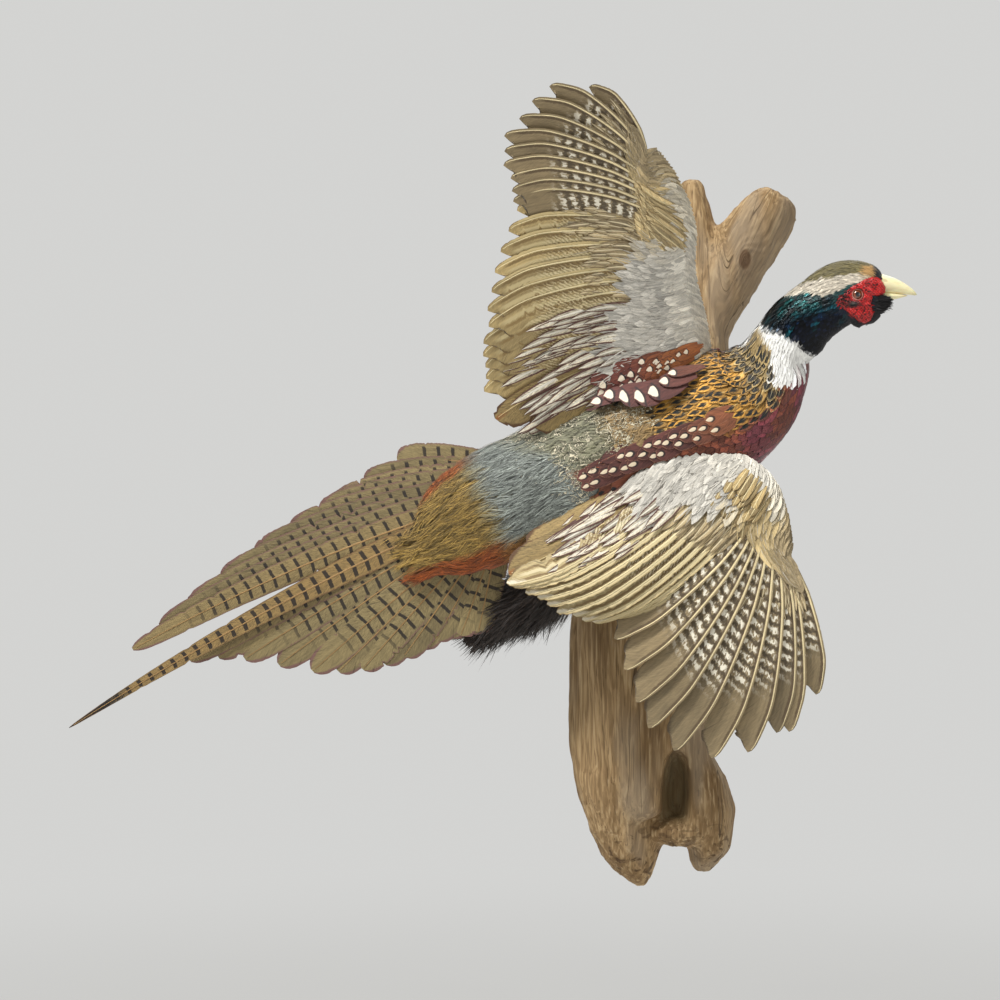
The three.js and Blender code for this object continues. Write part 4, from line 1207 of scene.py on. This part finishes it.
def flight_feathers():
    primary = feather_material("primary_feathers", bars=(240, 233, 214), bar_gap=10.8, bar_width=0.36, bar_side=-1,
                               bar_break=0.55, bar_slant=-0.5, bar_span=(0.1, 0.68), bar_dark=0.8, mottle=(206, 194, 168),
                               mottle_size=0.7, mottle_share=0.15, streak=0.25, edge=(92, 76, 54), edge_from=0.94,
                               stripes=((-0.07, 0.06, (84, 66, 44)), (0.5, 0.3, (150, 132, 98))), gloss=0.5)
    # In both secondaries, edge is a thin dark line along each vane's rim, wider at the tip: painted shade between the
    # feathers' tips.
    marks = dict(bar_gap=4.2, bar_side=-1, bar_break=0.9, bar_slant=-1.2, bar_dark=0.35, streak=0.3, mottle_size=0.9,
                 edge=(116, 94, 58), edge_from=0.94)
    buff = feather_material("secondary_feathers_left", bars=(222, 208, 168), bar_width=0.3, bar_share=0.7,
                            bar_span=(0.0, 0.7), mottle=(126, 102, 60), mottle_share=0.3,
                            stripes=((-0.1, 0.07, (124, 100, 58)), (-0.34, 0.1, (208, 190, 142)), (-0.52, 0.07, (138, 112, 66)),
                                     (0.6, 0.34, (206, 186, 136))), **marks)
    cream = feather_material("secondary_feathers_right", bars=(236, 226, 198), bar_width=0.3, bar_share=0.6,
                             bar_span=(0.0, 0.6), mottle=(132, 108, 66), mottle_share=0.35, tip=(228, 218, 194),
                             tip_from=0.88, stripes=((-0.14, 0.09, (118, 94, 58)), (-0.42, 0.12, (224, 210, 170)),
                                                     (-0.66, 0.09, (130, 106, 66)), (0.5, 0.3, (214, 198, 154))), **marks)
    tertial = feather_material("tertial_feathers", edge=(92, 64, 38), edge_from=0.84, mottle=(96, 82, 50),
                               mottle_size=0.8, mottle_share=0.2, streak=0.35, tip=(150, 96, 50), tip_from=0.9)
    bone = feather_material("feather_shafts", streak=0.1, gloss=0.4, sheen=0.0)
    # Material, ground colour, shaft's colour, share of slits, their depth, and how far forward the shaft stands.
    looks = {
        "primaries": (primary, (134, 117, 86), (230, 212, 166), 0.04, 0.14, 6.3),
        "secondaries": (buff, (178, 155, 106), (228, 212, 166), 0.1, 0.35, 6.0),
        "tertials": (tertial, (156, 132, 84), (212, 190, 138), 0.05, 0.3, 2.0),
    }
    for side, wing in WINGS.items():
        shafts = Coat(f"shafts_{side}", bone, "flight_feathers")
        for name, count in FLIGHT.items():
            front, rear = VANES[name]
            material, colour, shaft, fray, slit_depth, off = looks[name]
            if name == "secondaries" and side == "right":
                material, colour, rear, fray, slit_depth = cream, (190, 170, 124), 10, 0.3, 0.4
            coat = Coat(f"vanes_{side}_{name}", material, "flight_feathers")
            t = mix(*wing[name]["roots"], np.linspace(0, 1, count))
            lines = fan_lines(arm(wing, t, 0.4), wing[name], count)
            if name == "secondaries":
                shorter = dice.uniform(0, 9 if side == "right" else 4, (count, 1))
                lines = (*lines[:2], lines[2] - unit(lines[2] - lines[1]) * shorter)
            colours = np.array(colour, float) * vary((count, 1), 0.08)
            normal = unit(np.array(wing["normal"]))
            lift = np.arange(count) * VANE_STEP
            vanes(coat, shafts, lines, normal, np.array(wing["ahead"]), front, rear, off, lift, 72, 13, np.zeros(count),
                  colours, strips_for(count), fray, shaft, slit_depth)
            coat.build([f"wing_{side}_{name}"])
        shafts.build()


def strips_for(total):
    """Where each of a fan's feathers lies on its own map: a strip each."""
    return lambda i: (np.stack([(i + 0.5) / total, np.full(len(i), 0.02)], 1), (0.92 / total, 0.94))


def tail_feathers():
    looks = dict(bars=(30, 22, 18), bar_gap=12.8, bar_break=0.06, bar_slant=0.15, mottle=(92, 76, 48), mottle_size=0.8,
                 mottle_share=0.2, streak=0.3)
    barred = feather_material("tail_feathers", bar_width=0.19, edge=(116, 84, 76), edge_from=0.86, bar_span=(0.0, 0.82),
                              **looks)
    bold = feather_material("long_tail_feather", bar_width=0.27, edge=(110, 80, 50), edge_from=0.86, tip=(26, 22, 20),
                            tip_from=0.84, tip_bend=0.0, **looks)
    shafts = Coat("shafts_tail", feather_material("tail_shafts", streak=0.1, sheen=0.0), "tail_feathers")
    # The solids' feathers, and others half way between them and a little under them.
    count = 2 * TAIL_COUNT - 1
    order = np.arange(count)
    roots = mix(np.array(TAIL["roots"][0], float), np.array(TAIL["roots"][1], float), (order / (count - 1))[:, None])
    lines = fan_lines(roots, TAIL, count)
    length = np.hypot(lines[2][:, 0] - roots[:, 0], lines[2][:, 2] - roots[:, 2])
    from_middle = np.abs(order / 2 - TAIL_MIDDLE)
    lift = -from_middle * VANE_STEP - 0.5 * (order % 2)
    colours = blend(np.broadcast_to(np.array((128, 113, 76), float), (count, 3)), (158, 129, 78), np.exp(-(from_middle / 0.9) ** 2))
    colours = colours * vary((count, 1), 0.1)
    fine = np.clip((length / TAIL_POINTED) ** 3, 0, 1) * smooth(3.0, 0.5, from_middle)
    centre = from_middle == 0
    sides = (from_middle > 0) & ((order % 2 == 0) | (from_middle > 1))
    for look, name, chosen in ((barred, "vanes_tail", sides), (bold, "vane_tail_middle", centre)):
        coat = Coat(name, look, "tail_feathers")
        part = [line[chosen] for line in lines]
        vanes(coat, shafts, part, np.array((0, -1.0, 0)), np.array((0, 0, 1.0)), TAIL_VANE, TAIL_VANE, 0, lift[chosen], 90,
              11, fine[chosen], colours[chosen], strips_for(chosen.sum()), 0.05, (150, 118, 74))
        coat.build(["tail"])
    shafts.build()


# ---- Head: eyes, wattle, bill -----------------------------------------------------------------------------

def revolve(points, centre, axis, start, sides):
    """Quads of a profile (distance, height) turned round an axis."""
    axis = unit(np.asarray(axis, float))
    first = unit(np.asarray(start, float))
    second = np.cross(axis, first)
    angle = np.linspace(0, 2 * math.pi, sides + 1)
    spoke = first * np.cos(angle)[:, None] + second * np.sin(angle)[:, None]
    profile = np.asarray(points, float)
    grid = centre + spoke[None] * profile[:, :1, None] + axis * profile[:, 1:, None]
    return grid.reshape(-1, 3), grid_quads(len(profile), sides + 1)


def add_eyes():
    for side, centre in EYES.items():
        out = np.array((0, -1 if side == "right" else 1, 0))
        turn = np.linspace(0.001, math.pi, 40)
        profile = np.stack([EYE_RADIUS * np.sin(turn), EYE_RADIUS * np.cos(turn)], 1)
        points, quads = revolve(profile, centre, out, (1, 0, 0), 48)
        m = Shader(f"eye_{side}")
        rel = points - centre
        spread_out = np.linalg.norm(rel - out * (rel * out).sum(1, keepdims=True), axis=1)
        front = (rel * out).sum(1) > 0
        ring = np.stack([np.where(front, spread_out, 9), np.arctan2(rel[:, 2], rel[:, 0]), np.zeros(len(rel))], 1)
        r, turned, _ = m.parts("ring")
        fibre = m.noise(m.join(turned * 3.0, r * 0.6, 0.0), 2.0, 3.0)
        colour = m.mix(fibre, (84, 34, 16), (146, 74, 32))
        colour = m.mix(r.step(3.2, 3.9), colour, (40, 18, 14))
        colour = m.mix(r.step(2.25, 1.95), colour, (4, 4, 5))
        glass = m.finish(colour, 0.08, Coat_Weight=1.0, Coat_Roughness=0.02, Specular_IOR_Level=0.6)
        mesh_object(f"eye_glass_{side}", points, quads, glass, [f"eye_{side}"], "eye", ring=ring)
        # The lids: a soft rim round the eye.
        bead = np.linspace(0, 2 * math.pi, 13)
        profile = np.stack([4.55 + 0.95 * np.cos(bead), 2.75 + 0.85 * np.sin(bead)], 1)
        points, quads = revolve(profile, centre, out, (1, 0, 0), 40)
        m = Shader(f"eyelid_{side}")
        grain = m.noise(m.place(), 1.4, 3.0)
        skin = m.finish(m.mix(grain, (140, 48, 42), (222, 150, 132)), 0.5, grain, 0.5, 0.0006)
        mesh_object(f"eyelid_{side}", points, quads, skin, slot="head_plumage")


def add_wattles():
    """The bare face: a raised, pimpled patch with a fold under the eye and a dark patch below it, and painted
    highlights and shade on the pimples.
    """
    head = tree(["head", "neck"])
    red = Shader("wattle_skin")
    grain = red.noise(red.place(), 1.1, 3.0)
    tint = Wire(red, red.attribute("tint").outputs["Color"])
    skin = red.finish(red.shade(tint, 0.6 + grain * 0.9), 0.3, grain, 0.8, 0.0008, Specular_IOR_Level=0.5)
    step = 0.55
    low, high = FACE.min(0) - 1, FACE.max(0) + 1
    xs, zs = np.arange(low[0], high[0], step), np.arange(low[1], high[1], step)
    flat = np.stack(np.meshgrid(xs, zs, indexing="ij"), -1).reshape(-1, 2)
    quads = grid_quads(len(xs), len(zs))
    for side, centre in EYES.items():
        way = 1.0 if side == "right" else -1.0
        within = inside(flat, FACE)
        place = np.stack([flat[:, 0] + centre[0], np.zeros(len(flat)), flat[:, 1] + centre[2]], 1)
        depth = np.full(len(flat), np.nan)
        for i, p in enumerate(place):
            hit = head.ray_cast(Vector((p[0], -216.5 - way * 60, p[2])), Vector((0, way, 0)))[0]
            if hit is not None:
                depth[i] = hit.y
        eye = np.linalg.norm(flat - (0, 0), axis=1)
        pimples = np.maximum(0, ripple(np.stack([flat[:, 0], flat[:, 1], 0 * eye], 1), 0.8)) ** 1.5
        folds = np.exp(-((eye - 7.2) / 1.1) ** 2) * 0.7
        creases = 0.5 * np.sin(0.95 * flat[:, 1] + 0.5 * flat[:, 0] + 1.5 * np.sin(0.35 * flat[:, 0]))
        height = 0.5 + 1.0 * smooth(0, 3, within) + 1.1 * pimples + folds + creases + 0.8 * smooth(-8, -20, flat[:, 1])
        height = np.where(within < 0.6, -0.6, height)
        place[:, 1] = depth - way * height
        dark = np.exp(-(((flat[:, 0] + 3.5) / 6.0) ** 2 + ((flat[:, 1] + 8.2) / 2.6) ** 2) * 1.4)
        grey = np.exp(-(((flat[:, 0] + 3.2) / 3.6) ** 2 + ((flat[:, 1] + 7.6) / 1.3) ** 2) * 1.6)
        # Painted highlights on the pimples' tops, and painted shade in the hollows between them.
        tone = blend(np.broadcast_to(np.array((206, 12, 16), float), (len(flat), 3)), (246, 84, 66), pimples)
        tone = blend(tone, (96, 6, 10), smooth(0.1, 0.0, pimples) * 0.6)
        tone = blend(tone, (24, 16, 16), dark * 1.3)
        tone = blend(tone, (112, 108, 100), grey * 0.9)
        tone = blend(tone, (120, 46, 40), smooth(-4, -14, flat[:, 0]) * 0.5)
        tone = np.hstack([linear(tone), np.ones((len(flat), 1))])
        good = (within > -0.2) & ~np.isnan(depth) & (eye > 4.9)
        kept = quads[good[quads].all(1)]
        used = np.unique(kept)
        renumber = np.zeros(len(flat), int)
        renumber[used] = np.arange(len(used))
        mesh_object(f"wattle_{side}", place[used], renumber[kept], skin, slot="head_plumage", tint=tone[used])


def bill_grid(base, tip, wide, deep, droop, over, low, high):
    """A mandible's skin between two angles of its section: a loft of rings that closes in a point."""
    base, tip = np.array(base, float), np.array(tip, float)
    middle = mix(base, tip, 0.62) + (0, 0, droop)
    v = np.linspace(0, 1, 33) ** 0.85
    angle = np.linspace(low, high, 33)
    share = (1 - v) ** over + 0.03
    centre = bezier(base, middle, tip, v[:, None])
    y, z = np.sin(angle), np.cos(angle)
    crest = 1 - 0.12 * np.abs(y) ** 2
    grid = centre[:, None] + np.stack([0 * y[None] * share[:, None], wide * y[None] * share[:, None],
                                       deep * (z * crest)[None] * share[:, None]], -1)
    return grid


def add_bill():
    m = Shader("bill_horn")
    grain = m.noise(m.place((0.25, 1, 1)), 0.6, 4.0)
    along, up, _ = m.parts("ring")
    colour = m.mix(grain, (226, 212, 160), (250, 240, 196))
    colour = m.mix(along.step(0.8, 1.0) * 0.5, colour, (196, 176, 120))
    colour = m.mix(along.step(0.12, 0.0) * 0.55, colour, (170, 140, 96))
    nostril = ((along - 0.17) * (along - 0.17) * 260.0 + (up - 0.35) * (up - 0.35) * 26.0).step(1.0, 0.55)
    colour = m.mix(nostril * 0.35, colour, (150, 122, 80))
    colour = m.mix(along.step(0.13, 0.06) * up.step(0.1, -0.4) * 0.75, colour, (204, 122, 104))
    horn = m.finish(colour, 0.35, grain - nostril * 1.2, 0.25, 0.0006, Coat_Weight=0.3, Coat_Roughness=0.3,
                    Subsurface_Weight=0.1)
    shapes = {
        "bill_upper": dict(base=(141, -220, 87), tip=(180, -220, 77.5), wide=8.5, deep=9.6, droop=5.5, over=0.66),
        "bill_lower": dict(base=(141, -220, 75), tip=(172, -220, 76.5), wide=7.5, deep=5, droop=0, over=0.8),
    }
    for name, shape in shapes.items():
        grid = bill_grid(**shape, low=0, high=2 * math.pi)
        rows, cols = grid.shape[:2]
        v = np.broadcast_to(np.linspace(0, 1, rows)[:, None], (rows, cols))
        z = np.broadcast_to(np.cos(np.linspace(0, 2 * math.pi, cols))[None], (rows, cols))
        ring = np.stack([v, z if name == "bill_upper" else v * 0 - 2, v * 0], -1).reshape(-1, 3)
        mesh_object(f"horn_{name}", grid.reshape(-1, 3), grid_quads(rows, cols), horn, [name], "bill", ring=ring)


def face_tufts():
    """Black bristles at the bill's base and the chin, and black specks over the bare face."""
    black = feather_material("face_tufts", streak=0.2, sheen=0.0, gloss=0.5)
    coat = Coat("coat_face", black, "head_plumage")
    head = tree(["skin"])
    spots = []
    chin = dice.uniform((11, -15), (24, -1.5), (420, 2))
    chin = chin[chin[:, 1] < -1.5 - 0.25 * (chin[:, 0] - 14)]
    chin = chin[inside(chin, FACE) < 0]
    for way in (1.0, -1.0):
        for start, stop, count, length in (((16, 25.5), (22.5, 14), 60, 4.0), ((14.5, -12), (11, -20), 40, 4.5)):
            at = mix(np.array(start, float), np.array(stop, float), dice.random((count, 1)))
            spots += [(p, way, length, 1.4) for p in at + dice.normal(0, 0.7, at.shape)]
        spots += [(p, way, 8.5, 1.3) for p in chin]
        inner = np.vstack([dice.uniform(FACE.min(0), FACE.max(0), (300, 2)), dice.normal((-8, -1), (5, 5), (160, 2))])
        inner = inner[(inside(inner, FACE) > 1.2) & (np.linalg.norm(inner, axis=1) > 7)]
        spots += [(p, way, 2.0, 0.8) for p in inner]
    roots, ways, sizes = [], [], []
    for flat, way, length, width in spots:
        x, z = flat[0] + 127, flat[1] + 76.5
        hit, normal, _, _ = head.ray_cast(Vector((x, -216.5 - way * 60, z)), Vector((0, way, 0)))
        if hit is None:
            continue
        roots.append(np.array(hit))
        if length < 3:
            run = (-0.9, 0, -0.2)
        elif flat[1] > 0:
            run = (0.25, 0, -0.9)
        else:
            run = (0.9, 0, 0.1)
        ways.append(unit(np.array(run) + np.array(normal) * 0.25 + dice.normal(0, 0.16, 3)))
        sizes.append((length, width, *normal, 4.4 if length < 3 else 0.0))
    roots, ways, sizes = np.array(roots), np.array(ways), np.array(sizes)
    share = np.linspace(0, 1, 4)
    up = sizes[:, 2:5]
    centre = roots[:, None] + ways[:, None] * (sizes[:, :1] * share)[..., None] + up[:, None] * (sizes[:, 5:6] - 0.3)[..., None]
    half = sizes[:, 1:2] / 2 * outline(HAIR, 4)
    tint = np.broadcast_to(np.array((16, 14, 16), float), (len(roots), 3))
    uv = np.stack([0.1 + 0.8 * dice.random(len(roots)), 0.1 + 0.8 * dice.random(len(roots))], 1)
    coat.add(centre, np.broadcast_to(up[:, None], centre.shape), half, half, 2, tint, uv)
    coat.build()


# ---- Legs -------------------------------------------------------------------------------------------------

def legs():
    m = Shader("leg_scales")
    scales = m.noise(m.place(), 0.7, 2.0)
    ribs = (m.noise(m.place((1, 1, 1)), 0.12, 1.0) * 60.0).wave()
    colour = m.mix(scales, (112, 104, 90), (160, 150, 132))
    horny = m.finish(m.mix(ribs.step(0.6, 0.95) * 0.5, colour, (70, 62, 54)), 0.5, ribs + scales, 0.5, 0.0006)
    for side in ("left", "right"):
        for part in ("shank", "foot"):
            node = f"leg_{side}_{part}"
            modifiers = (("REMESH", {"mode": "VOXEL", "voxel_size": 0.0009}), ("SMOOTH", {"iterations": 6, "factor": 0.5}))
            piece = solid_piece(f"scaled_{node}", [node], *modifiers)
            piece.data.materials.clear()
            piece.data.materials.append(horny)
            piece.data.polygons.foreach_set("use_smooth", np.ones(len(piece.data.polygons), bool))
            settle(piece, [node], "leg_skin")
    down = feather_material("thigh_plumes", streak=0.35, sheen=0.3, edge=(70, 52, 36), edge_from=0.8)
    coat = Coat("coat_thighs", down, "thigh_plumage")
    thighs = {
        "left": [(-92, -104, -40), (-128, -92, -52), (-148, -88, -68), (-168, -84, -84)],
        "right": [(-80, -128, -94), (-138, -106, -180), (-167, -100, -201), (-196, -94, -222)],
    }
    radii = [16, 28, 23, 9]
    for points in thighs.values():
        length = np.linalg.norm(np.diff(np.array(points, float), axis=0), axis=1).sum()
        places = rows_over(0, length, 5.6, lambda row: 2 * math.pi * 26, 0, 360)
        base, turn = places.T
        count, rows = len(places), 6
        share = np.linspace(0, 1, rows)
        reach = 26 * vary(count, 0.3)
        at = np.clip((base[:, None] + reach[:, None] * (share - 0.3)) / length, 0, 1.25)
        line = catmull(points, at)
        beyond = np.clip(at - 1, 0, 1)[..., None] * length
        way = unit(catmull(points, np.array([1.0])) - catmull(points, np.array([0.95])))
        line = line + way * beyond
        ahead = unit(catmull(points, np.clip(at, 0.01, 1)) - catmull(points, np.clip(at, 0.01, 1) - 0.01))
        first = unit(np.array((0, 0, 1.0)) - ahead * ahead[..., 2:3])
        second = np.cross(ahead, first)
        angle = np.radians(turn)[:, None, None]
        out = first * np.cos(angle) + second * np.sin(angle)
        radius = np.interp(np.clip(at, 0, 1), np.linspace(0, 1, 4), radii) - 1.5 + 2.5 * share
        centre = line + out * radius[..., None]
        tint = np.array((44, 33, 27), float) * vary((count, 1), 0.3)
        uv = np.stack([0.03 + 0.9 * turn / 360, 0.03 + 0.9 * np.clip(base / length, 0, 1)], 1)
        half = 4.4 * outline(ROUND, rows) * np.ones((count, 1))
        coat.add(centre, out, half, half, 5, tint, uv, cup=0.02)
        # Loose hair-like barbs, which stand away from them towards their tips.
        many = np.repeat(np.arange(count), 5)
        stray = dice.normal(0, 4.0, (len(many), 1, 3)) * (0.3 + share[:, None]) * (1, 1, 1)
        stray = stray + out[many] * (3.0 * share[:, None]) + np.array((-0.5, 0, -0.5)) * (4.0 * share[:, None] ** 2)
        thin = 0.65 * outline(HAIR, rows) * np.ones((len(many), 1))
        coat.add(centre[many] + stray, out[many], thin, thin, 2, tint[many] * 0.7, uv[many])
    coat.build()


# ---- Driftwood --------------------------------------------------------------------------------------------

def driftwood():
    # A bridge of wood joins the two lower legs in front, and closes the hollow between them behind.
    bridge = (((-9, -46, -411), (36, 26, 14)), ((-14, -20, -384), (30, 15, 46)))
    piece = solid_piece("driftwood_weathered", ["driftwood"], ("REMESH", {"mode": "VOXEL", "voxel_size": 0.0042}),
                        ("SMOOTH", {"iterations": 5, "factor": 0.5}), ("SUBSURF", {"levels": 1}), lumps=bridge)
    mesh = piece.data
    points, out = coordinates(mesh), normals(mesh)
    grain = np.empty(len(points))
    for i, (x, y, z) in enumerate(points):
        bend = 9 * noise.noise((x * 0.012, y * 0.012, z * 0.008))
        long = noise.fractal(((x + bend) * 0.11, y * 0.11, z * 0.009), 1.0, 2.0, 4)
        broad = noise.noise((x * 0.02, y * 0.02, z * 0.01))
        grain[i] = 1.5 * long + 1.6 * broad
    front = smooth(-1.0, -6.0, points[:, 1])
    set_coordinates(mesh, points + out * (np.clip(grain, -2.2, 1.6) * front)[:, None])
    m = Shader("weathered_wood")
    swirl = m.noise(m.place((1, 1, 0.5)), 0.02, 2.0)
    x, y, z = split(m, m.place())
    # The grain runs upright, and leans with the right branch above the fork.
    across = x - (z - 60.0) * (z.step(50.0, 80.0) * x.step(18.0, 34.0) * 0.48)
    place = m.join(across, y, z * 0.07)
    knot = ((x - 48.0) * (x - 48.0) + (z - 124.0) * (z - 124.0) * 0.4).power(0.5)
    fibre = m.noise(place, 0.32, 5.0, 0.6)
    broad = m.noise(m.place((1, 1, 0.2)), 0.035, 3.0)
    rings = ((across * 0.35 + y * 0.2 + z * 0.018 + swirl * 16.0 + 30.0 / (knot * 0.12 + 1.2)) * 1.9).wave()
    colour = m.mix(broad.step(0.3, 0.7), (128, 102, 68), (174, 146, 106))
    colour = m.mix(rings.step(0.1, 0.9) * 0.25, colour, (116, 88, 56))
    colour = m.mix(fibre.step(0.54, 0.4) * 0.5, colour, (98, 74, 46))
    thin = m.noise(m.join(across, y, z * 0.02), 0.5, 2.0)
    colour = m.mix(thin.step(0.38, 0.3) * 0.7, colour, (74, 54, 34))
    colour = m.mix(fibre.step(0.53, 0.7) * 0.45, colour, (202, 178, 138))
    grey = m.noise(m.place((1, 1, 0.3)), 0.016, 2.0).step(0.5, 0.62)
    colour = m.mix(grey * 0.45, colour, (146, 134, 116))
    crack = m.noise(m.join(across, y * 0.3, z * 0.012), 0.06, 0.0)
    rare = m.noise(m.place((1, 1, 0.4)), 0.012, 1.0).step(0.48, 0.56)
    split_line = (crack - 0.5).size().step(0.005, 0.0015) * rare
    colour = m.mix(split_line * 0.7, colour, (56, 42, 28))
    heart = knot.step(7.0, 4.5)
    colour = m.mix(heart * 0.7, colour, (84, 56, 34))
    # A dark olive oval low on the front where the hollow is: painted shade of the hollow, with a mossy tint.
    hollow = (((x + 16.0) * (x + 16.0)) * (1 / 17 ** 2) + (z + 376.0) * (z + 376.0) * (1 / 50 ** 2)).step(1.15, 0.8)
    colour = m.mix(hollow * y.step(-70.0, -50.0) * (fibre * 0.9 + 0.05), colour, (82, 76, 52))
    rot = m.noise(m.place((1, 1, 1.6)), 0.06, 4.0, 1.2).step(0.57, 0.63) * z.step(-385.0, -430.0)
    colour = m.mix(rot * 0.75, colour, (70, 50, 32))
    bark = m.finish(colour, 0.78, fibre + rings * 0.15 - split_line * 1.5 - rot * 0.8, 0.55, 0.0014, Specular_IOR_Level=0.25)
    mesh.materials.clear()
    mesh.materials.append(bark)
    mesh.polygons.foreach_set("use_smooth", np.ones(len(mesh.polygons), bool))
    settle(piece, ["driftwood"], "driftwood")


def split(shader, vector):
    node = shader.new("ShaderNodeSeparateXYZ")
    shader.put(node.inputs[0], vector)
    return [Wire(shader, output) for output in node.outputs]


# ---- Room -------------------------------------------------------------------------------------------------

AIR_LIGHT = 0.5
WALL_LIGHT = 0.78


def stage():
    """A pale floor that fades into a pale wall far behind, three soft lights, and the camera."""
    air = linear((236, 236, 234))
    paper = Shader("pale_paper")
    pale = paper.finish(paper.mix(paper.noise(paper.place(), 0.002, 2.0), (222, 221, 218), (228, 227, 224)), 0.9)
    glow = paper.new("ShaderNodeEmission")
    glow.inputs["Color"].default_value = (*air, 1)
    glow.inputs["Strength"].default_value = WALL_LIGHT
    x, y, _ = split(paper, paper.place((0.001, 0.001, 0.001)))
    fade = paper.new("ShaderNodeMixShader")
    paper.put(fade.inputs[0], (x * x + y * y).power(0.5).step(1.2, 5.0))
    paper.put(fade.inputs[1], Wire(paper, paper.body.outputs[0]))
    paper.put(fade.inputs[2], Wire(paper, glow.outputs[0]))
    paper.put(paper.nodes["Material Output"].inputs["Surface"], Wire(paper, fade.outputs[0]))
    bpy.ops.mesh.primitive_circle_add(vertices=96, radius=16, fill_type="NGON", location=(0, 0, -1.25))
    floor = bpy.context.object
    floor.name = "floor"
    bpy.ops.mesh.primitive_plane_add(size=140, location=(0, 15, 0), rotation=(math.pi / 2, 0, 0))
    wall = bpy.context.object
    wall.name = "far_wall"
    bright = Shader("far_wall")
    bright.finish((0, 0, 0, 1), 1.0, Specular_IOR_Level=0.0, Emission_Color=(*air, 1), Emission_Strength=WALL_LIGHT)
    for piece, material in ((floor, pale), (wall, bright.material)):
        piece.data.materials.append(material)
    world = bpy.data.worlds.new("studio")
    bpy.context.scene.world = world
    world.use_nodes = True
    world.node_tree.nodes["Background"].inputs["Color"].default_value = (*air, 1)
    world.node_tree.nodes["Background"].inputs["Strength"].default_value = AIR_LIGHT
    lights = (
        ("key", (-1.3, -1.5, 2.1), 0.7, 95),
        ("fill", (1.8, -2.2, 0.3), 1.6, 9),
        ("rim", (0.6, 0.9, 1.8), 1.2, 14),
    )
    for name, place, size, power in lights:
        light = bpy.data.lights.new(name, "AREA")
        light.shape, light.size, light.energy = "DISK", size, power
        lamp = bpy.data.objects.new(name, light)
        lamp.location = place
        lamp.rotation_euler = (Vector((-0.15, -0.15, -0.05)) - Vector(place)).to_track_quat("-Z", "Y").to_euler()
        bpy.context.scene.collection.objects.link(lamp)
    lens = bpy.data.cameras.new("camera")
    lens.lens, lens.sensor_width, lens.sensor_height = 82.5, 36, 36
    lens.clip_end = 120
    camera = bpy.data.objects.new("camera", lens)
    camera.location = (-0.18, -2.2, -0.1)
    camera.rotation_euler = (math.pi / 2, 0, 0)
    bpy.context.scene.collection.objects.link(camera)
    bpy.context.scene.camera = camera
    bpy.context.scene.view_settings.view_transform = "Standard"


stage()
add_skin()
for side_name, each_wing in WINGS.items():
    each_wing["tree"] = tree([f"wing_{side_name}_{part}" for part in ARM_PARTS])
mantle()
scapulars()
breast()
flanks()
belly()
rump()
neck_and_head()
grey_coverts = feather_material("grey_coverts", streak=0.35, shaft=(222, 218, 208), shaft_width=0.08)
buff_coverts = feather_material("buff_coverts", streak=0.6, shaft=(226, 208, 160), shaft_width=0.16, edge=(126, 100, 60),
                                edge_from=0.84)
brown_coverts = feather_material("brown_coverts", streak=0.5, shaft=(226, 210, 172), shaft_width=0.24, edge=(118, 98, 68),
                                 edge_from=0.76)
long_coverts = feather_material("long_coverts", streak=0.9, edge=(92, 60, 52), edge_from=0.58, shaft=(226, 220, 204),
                                shaft_width=0.3, shaft_taper=0.05)
for side_name, each_wing in WINGS.items():
    wing_coverts(side_name, each_wing, grey_coverts, buff_coverts, brown_coverts, long_coverts)
flight_feathers()
tail_feathers()
add_eyes()
add_wattles()
add_bill()
face_tufts()
legs()
driftwood()

bpy.context.view_layer.update()
